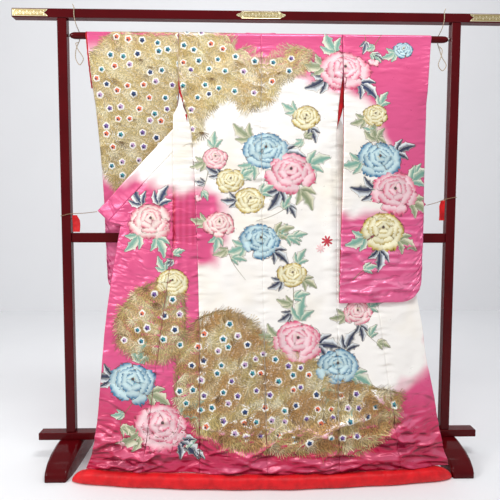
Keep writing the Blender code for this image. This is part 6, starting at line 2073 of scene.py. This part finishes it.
@dataclass
class Cords:
    """Both twines, both ties and both ribbons."""

    drape: Drape

    @staticmethod
    def laid(name: str, node: str, knots: Sequence[Sequence[float]], diameter: float,
             material: Material, lay: str) -> None:
        """Carry a two-strand section along a route: r (0.86 + 0.14 |cos(angle - twist)|)."""
        fine = route_through(knots, 150)
        pitch = diameter * 3.2
        shell = tube_along(fine, lambda run, angle: diameter / 2 * (
            0.86 + 0.14 * np.abs(np.cos(angle - run * 2 * np.pi / pitch))), 12)
        item = add_piece(name, shell, (material,), (node,))
        path = route_through(knots, 38) + np.array([0.0, STAND_Y, 0.0])

    @staticmethod
    def ribbon(label: str, sign: int, top: float, length: float, bulge: float, palette: Palette) -> None:
        """A short ribbon beside a post: rows of a slightly bowed and twisted strip."""
        inside = POST_PITCH / 2 - POST_WIDTH / 2 - 0.0052
        t = np.linspace(0.0, 1.0, 44)[:, None]
        share = np.linspace(0.0, 1.0, 14)
        width = 0.026 * (0.72 + 0.28 * ease(0.0, 0.35, t))
        near = sign * (inside - 0.0005)
        far = sign * (inside - width - bulge * np.sin(np.pi * t * 0.8))
        x = near + (far - near) * share
        ripple = 0.0006 * np.sin(t * 17.0 + share * 5.0) * t
        y = -POST_DEPTH / 2 + 0.004 + 0.004 * np.sin(share * 3.0 + 2.0 * t) + ripple
        item = add_piece(f"red_ribbon_{label}", walled(joined(x, y, top - length * t), 0.0012),
                         (palette.ribbon, palette.ribbon), (f"ribbon_{label}",))
        round(0.026 + 0.8 * bulge, 4)
        round(length + 0.002, 3)

    def build(self, palette: Palette) -> None:
        """Make them all, each where its solid is."""
        for loop in (Loop("left", -1, 0.7135, 0.712, 0.044, 0.7006, 0.0135, 0.111),
                     Loop("right", 1, 0.7115, 0.7125, 0.062, 0.7164, 0.016, 0.12)):
            self.laid(f"twine_cord_{loop.label}", f"twine_{loop.label}", loop.knots(), TWINE_DIAMETER,
                      palette.twine, "hanging")
        for tie in (Tie("left", -1, RUN_LEFT, 0.9915, -0.0085), Tie("right", 1, RUN_RIGHT, 1.0545, 0.006)):
            self.laid(f"tie_cord_{tie.label}", f"tie_{tie.label}", tie.knots(self.drape), TIE_DIAMETER,
                      palette.tie, "taut")
        self.ribbon("left", -1, 0.986, 0.066, 0.006, palette)
        self.ribbon("right", 1, 1.0475, 0.0795, -0.002, palette)


# ---------------------------------------------------------------- floor, light and camera
@dataclass
class Studio:
    """A plain pale floor, soft light and the camera."""

    focal_pixels: float = 504.33
    frame_pixels: float = 500.0
    place: Point = (-0.09, -1.9772, 0.9864)
    yaw: float = 0.0249
    pitch: float = 0.0685
    roll: float = 0.0025

    def camera(self) -> None:
        """Set the camera from its yaw, pitch and roll, with a lens for a 36 mm wide frame."""
        forward = Vector((math.sin(self.yaw) * math.cos(self.pitch),
                          math.cos(self.yaw) * math.cos(self.pitch),
                          -math.sin(self.pitch)))
        right = Vector((math.cos(self.yaw), -math.sin(self.yaw), 0.0))
        up = right.cross(forward)
        turned = right * math.cos(self.roll) + up * math.sin(self.roll)
        upward = up * math.cos(self.roll) - right * math.sin(self.roll)
        data = bpy.data.cameras.new("view")
        data.lens = 36.0 * self.focal_pixels / self.frame_pixels
        data.sensor_width = 36.0
        data.clip_end = 50.0
        item = bpy.data.objects.new("view", data)
        bpy.context.scene.collection.objects.link(item)
        turn = Matrix((turned, upward, -forward)).transposed()
        item.matrix_world = Matrix.Translation(self.place) @ turn.to_4x4()
        bpy.context.scene.camera = item

    @staticmethod
    def lamp(name: str, place: Point, aim: Point,
             size: Pair, power: float, colour: Colour) -> None:
        """An area light at a place, aimed at another."""
        data = bpy.data.lights.new(name, "AREA")
        data.shape = "RECTANGLE"
        data.size, data.size_y = size
        data.energy = power
        data.color = colour
        item = bpy.data.objects.new(name, data)
        item.location = place
        item.rotation_euler = (Vector(aim) - Vector(place)).to_track_quat("-Z", "Y").to_euler()
        bpy.context.scene.collection.objects.link(item)

    @staticmethod
    def plane(name: str, corners: Sequence[Point]) -> None:
        """A wide pale plane."""
        mesh = bpy.data.meshes.new(name)
        mesh.from_pydata(list(corners), [], [(0, 1, 2, 3)])
        item = bpy.data.objects.new(name, mesh)
        brush = Brush(f"pale_{name}")
        cloud = brush.noise(brush.places(), 1.5, 2.0)
        colour = brush.mix(cloud, linear(238, 240, 241), linear(232, 234, 236))
        mesh.materials.append(brush.finish(Base_Color=colour, Roughness=0.8))
        bpy.context.scene.collection.objects.link(item)

    def light(self) -> None:
        """Pale surroundings, a broad soft key from the front left, a soft light from above and a light on the
        backdrop behind.
        """
        world = bpy.data.worlds.new("pale_room")
        world.use_nodes = True
        background = world.node_tree.nodes["Background"]
        background.inputs["Color"].default_value = (*linear(244, 242, 246), 1.0)
        background.inputs["Strength"].default_value = 0.58
        bpy.context.scene.world = world
        self.lamp("key", (-2.9, -1.9, 2.6), (0.0, -0.1, 0.8), (0.9, 1.2), 62.0, (1.0, 0.985, 0.96))
        self.lamp("above", (0.5, -1.3, 3.9), (0.0, 0.0, 0.6), (1.4, 0.7), 63.0, (1.0, 1.0, 1.0))
        self.lamp("behind", (0.0, 0.9, 4.6), (0.0, 3.2, 1.2), (5.0, 0.6), 33.0, (1.0, 1.0, 1.0))
        bpy.context.scene.view_settings.view_transform = "Standard"

    def build(self) -> None:
        """Floor, light and camera."""
        self.camera()
        self.light()
        self.plane("floor", ((-12, -12, -0.0004), (12, -12, -0.0004), (12, 12, -0.0004), (-12, 12, -0.0004)))
        self.plane("backdrop", ((-6, 3.2, -0.01), (6, 3.2, -0.01), (6, 3.2, 5.5), (-6, 3.2, 5.5)))


# ---------------------------------------------------------------- the whole
def main() -> None:
    """Build the studio, the cords, the stand and the robe, and list in a table the size that each silk piece
    was cut to.
    """
    logging.basicConfig(level=logging.INFO, format="%(name)s: %(message)s")
    Studio().build()
    drape = Drape()
    palette = Palette()
    Cords(drape).build(palette)
    Stand().build(palette)
    body = Body(drape, palette)
    left = Sleeve(-1, SLEEVE_IN_LEFT, SLEEVE_OUT_LEFT, drape)
    right = Sleeve(1, SLEEVE_IN_RIGHT, SLEEVE_OUT_RIGHT, drape)
    work = Embroidery(drape, left, right).build(palette)
    collars = Collars(body)
    rod = ("lacquered_rod",)
    cuts = (
        SilkPiece(body.back(-1), (0.318, 1.67), "hung", rod, 0.446, ("back_left",)),
        SilkPiece(body.back(1), (0.318, 1.67), "hung", rod, 0.49, ("back_right",)),
        SilkPiece(body.front_left(), (0.21, 1.72), "hung", rod, 0.236, ("front_left",)),
        SilkPiece(body.front_right(), (0.235, 1.72), "hung", rod, 0.24, ("front_right",)),
        SilkPiece(body.overlap(RUN_LEFT), (0.235, 1.29), "hung", ("front_silk_left",), 0.25,
                  ("overlap_left",)),
        SilkPiece(body.overlap(RUN_RIGHT), (0.215, 1.29), "hung", ("front_silk_right",), 0.206,
                  ("overlap_right",)),
        SilkPiece(collars.half(RUN_LEFT, COLLAR_LEFT_TURN), (0.065, 1.03), "folded", rod),
        SilkPiece(collars.half(RUN_RIGHT, COLLAR_RIGHT_TURN), (0.065, 1.0), "folded", rod),
        SilkPiece(left.build(palette), (0.32, 2.03), "hung", rod, None, ("sleeve_left",)),
        SilkPiece(right.build(palette), (0.345, 2.03), "hung", rod, None, ("sleeve_right",)),
        SilkPiece(left.cuff(palette), (0.01, 0.45), "folded", ("sleeve_silk_left",), 0.0033),
        left.vent(palette, BACK_LEFT),
        right.vent(palette, BACK_RIGHT),
    )
    PaddedHem(drape).build(palette)


if __name__ == "__main__":
    main()
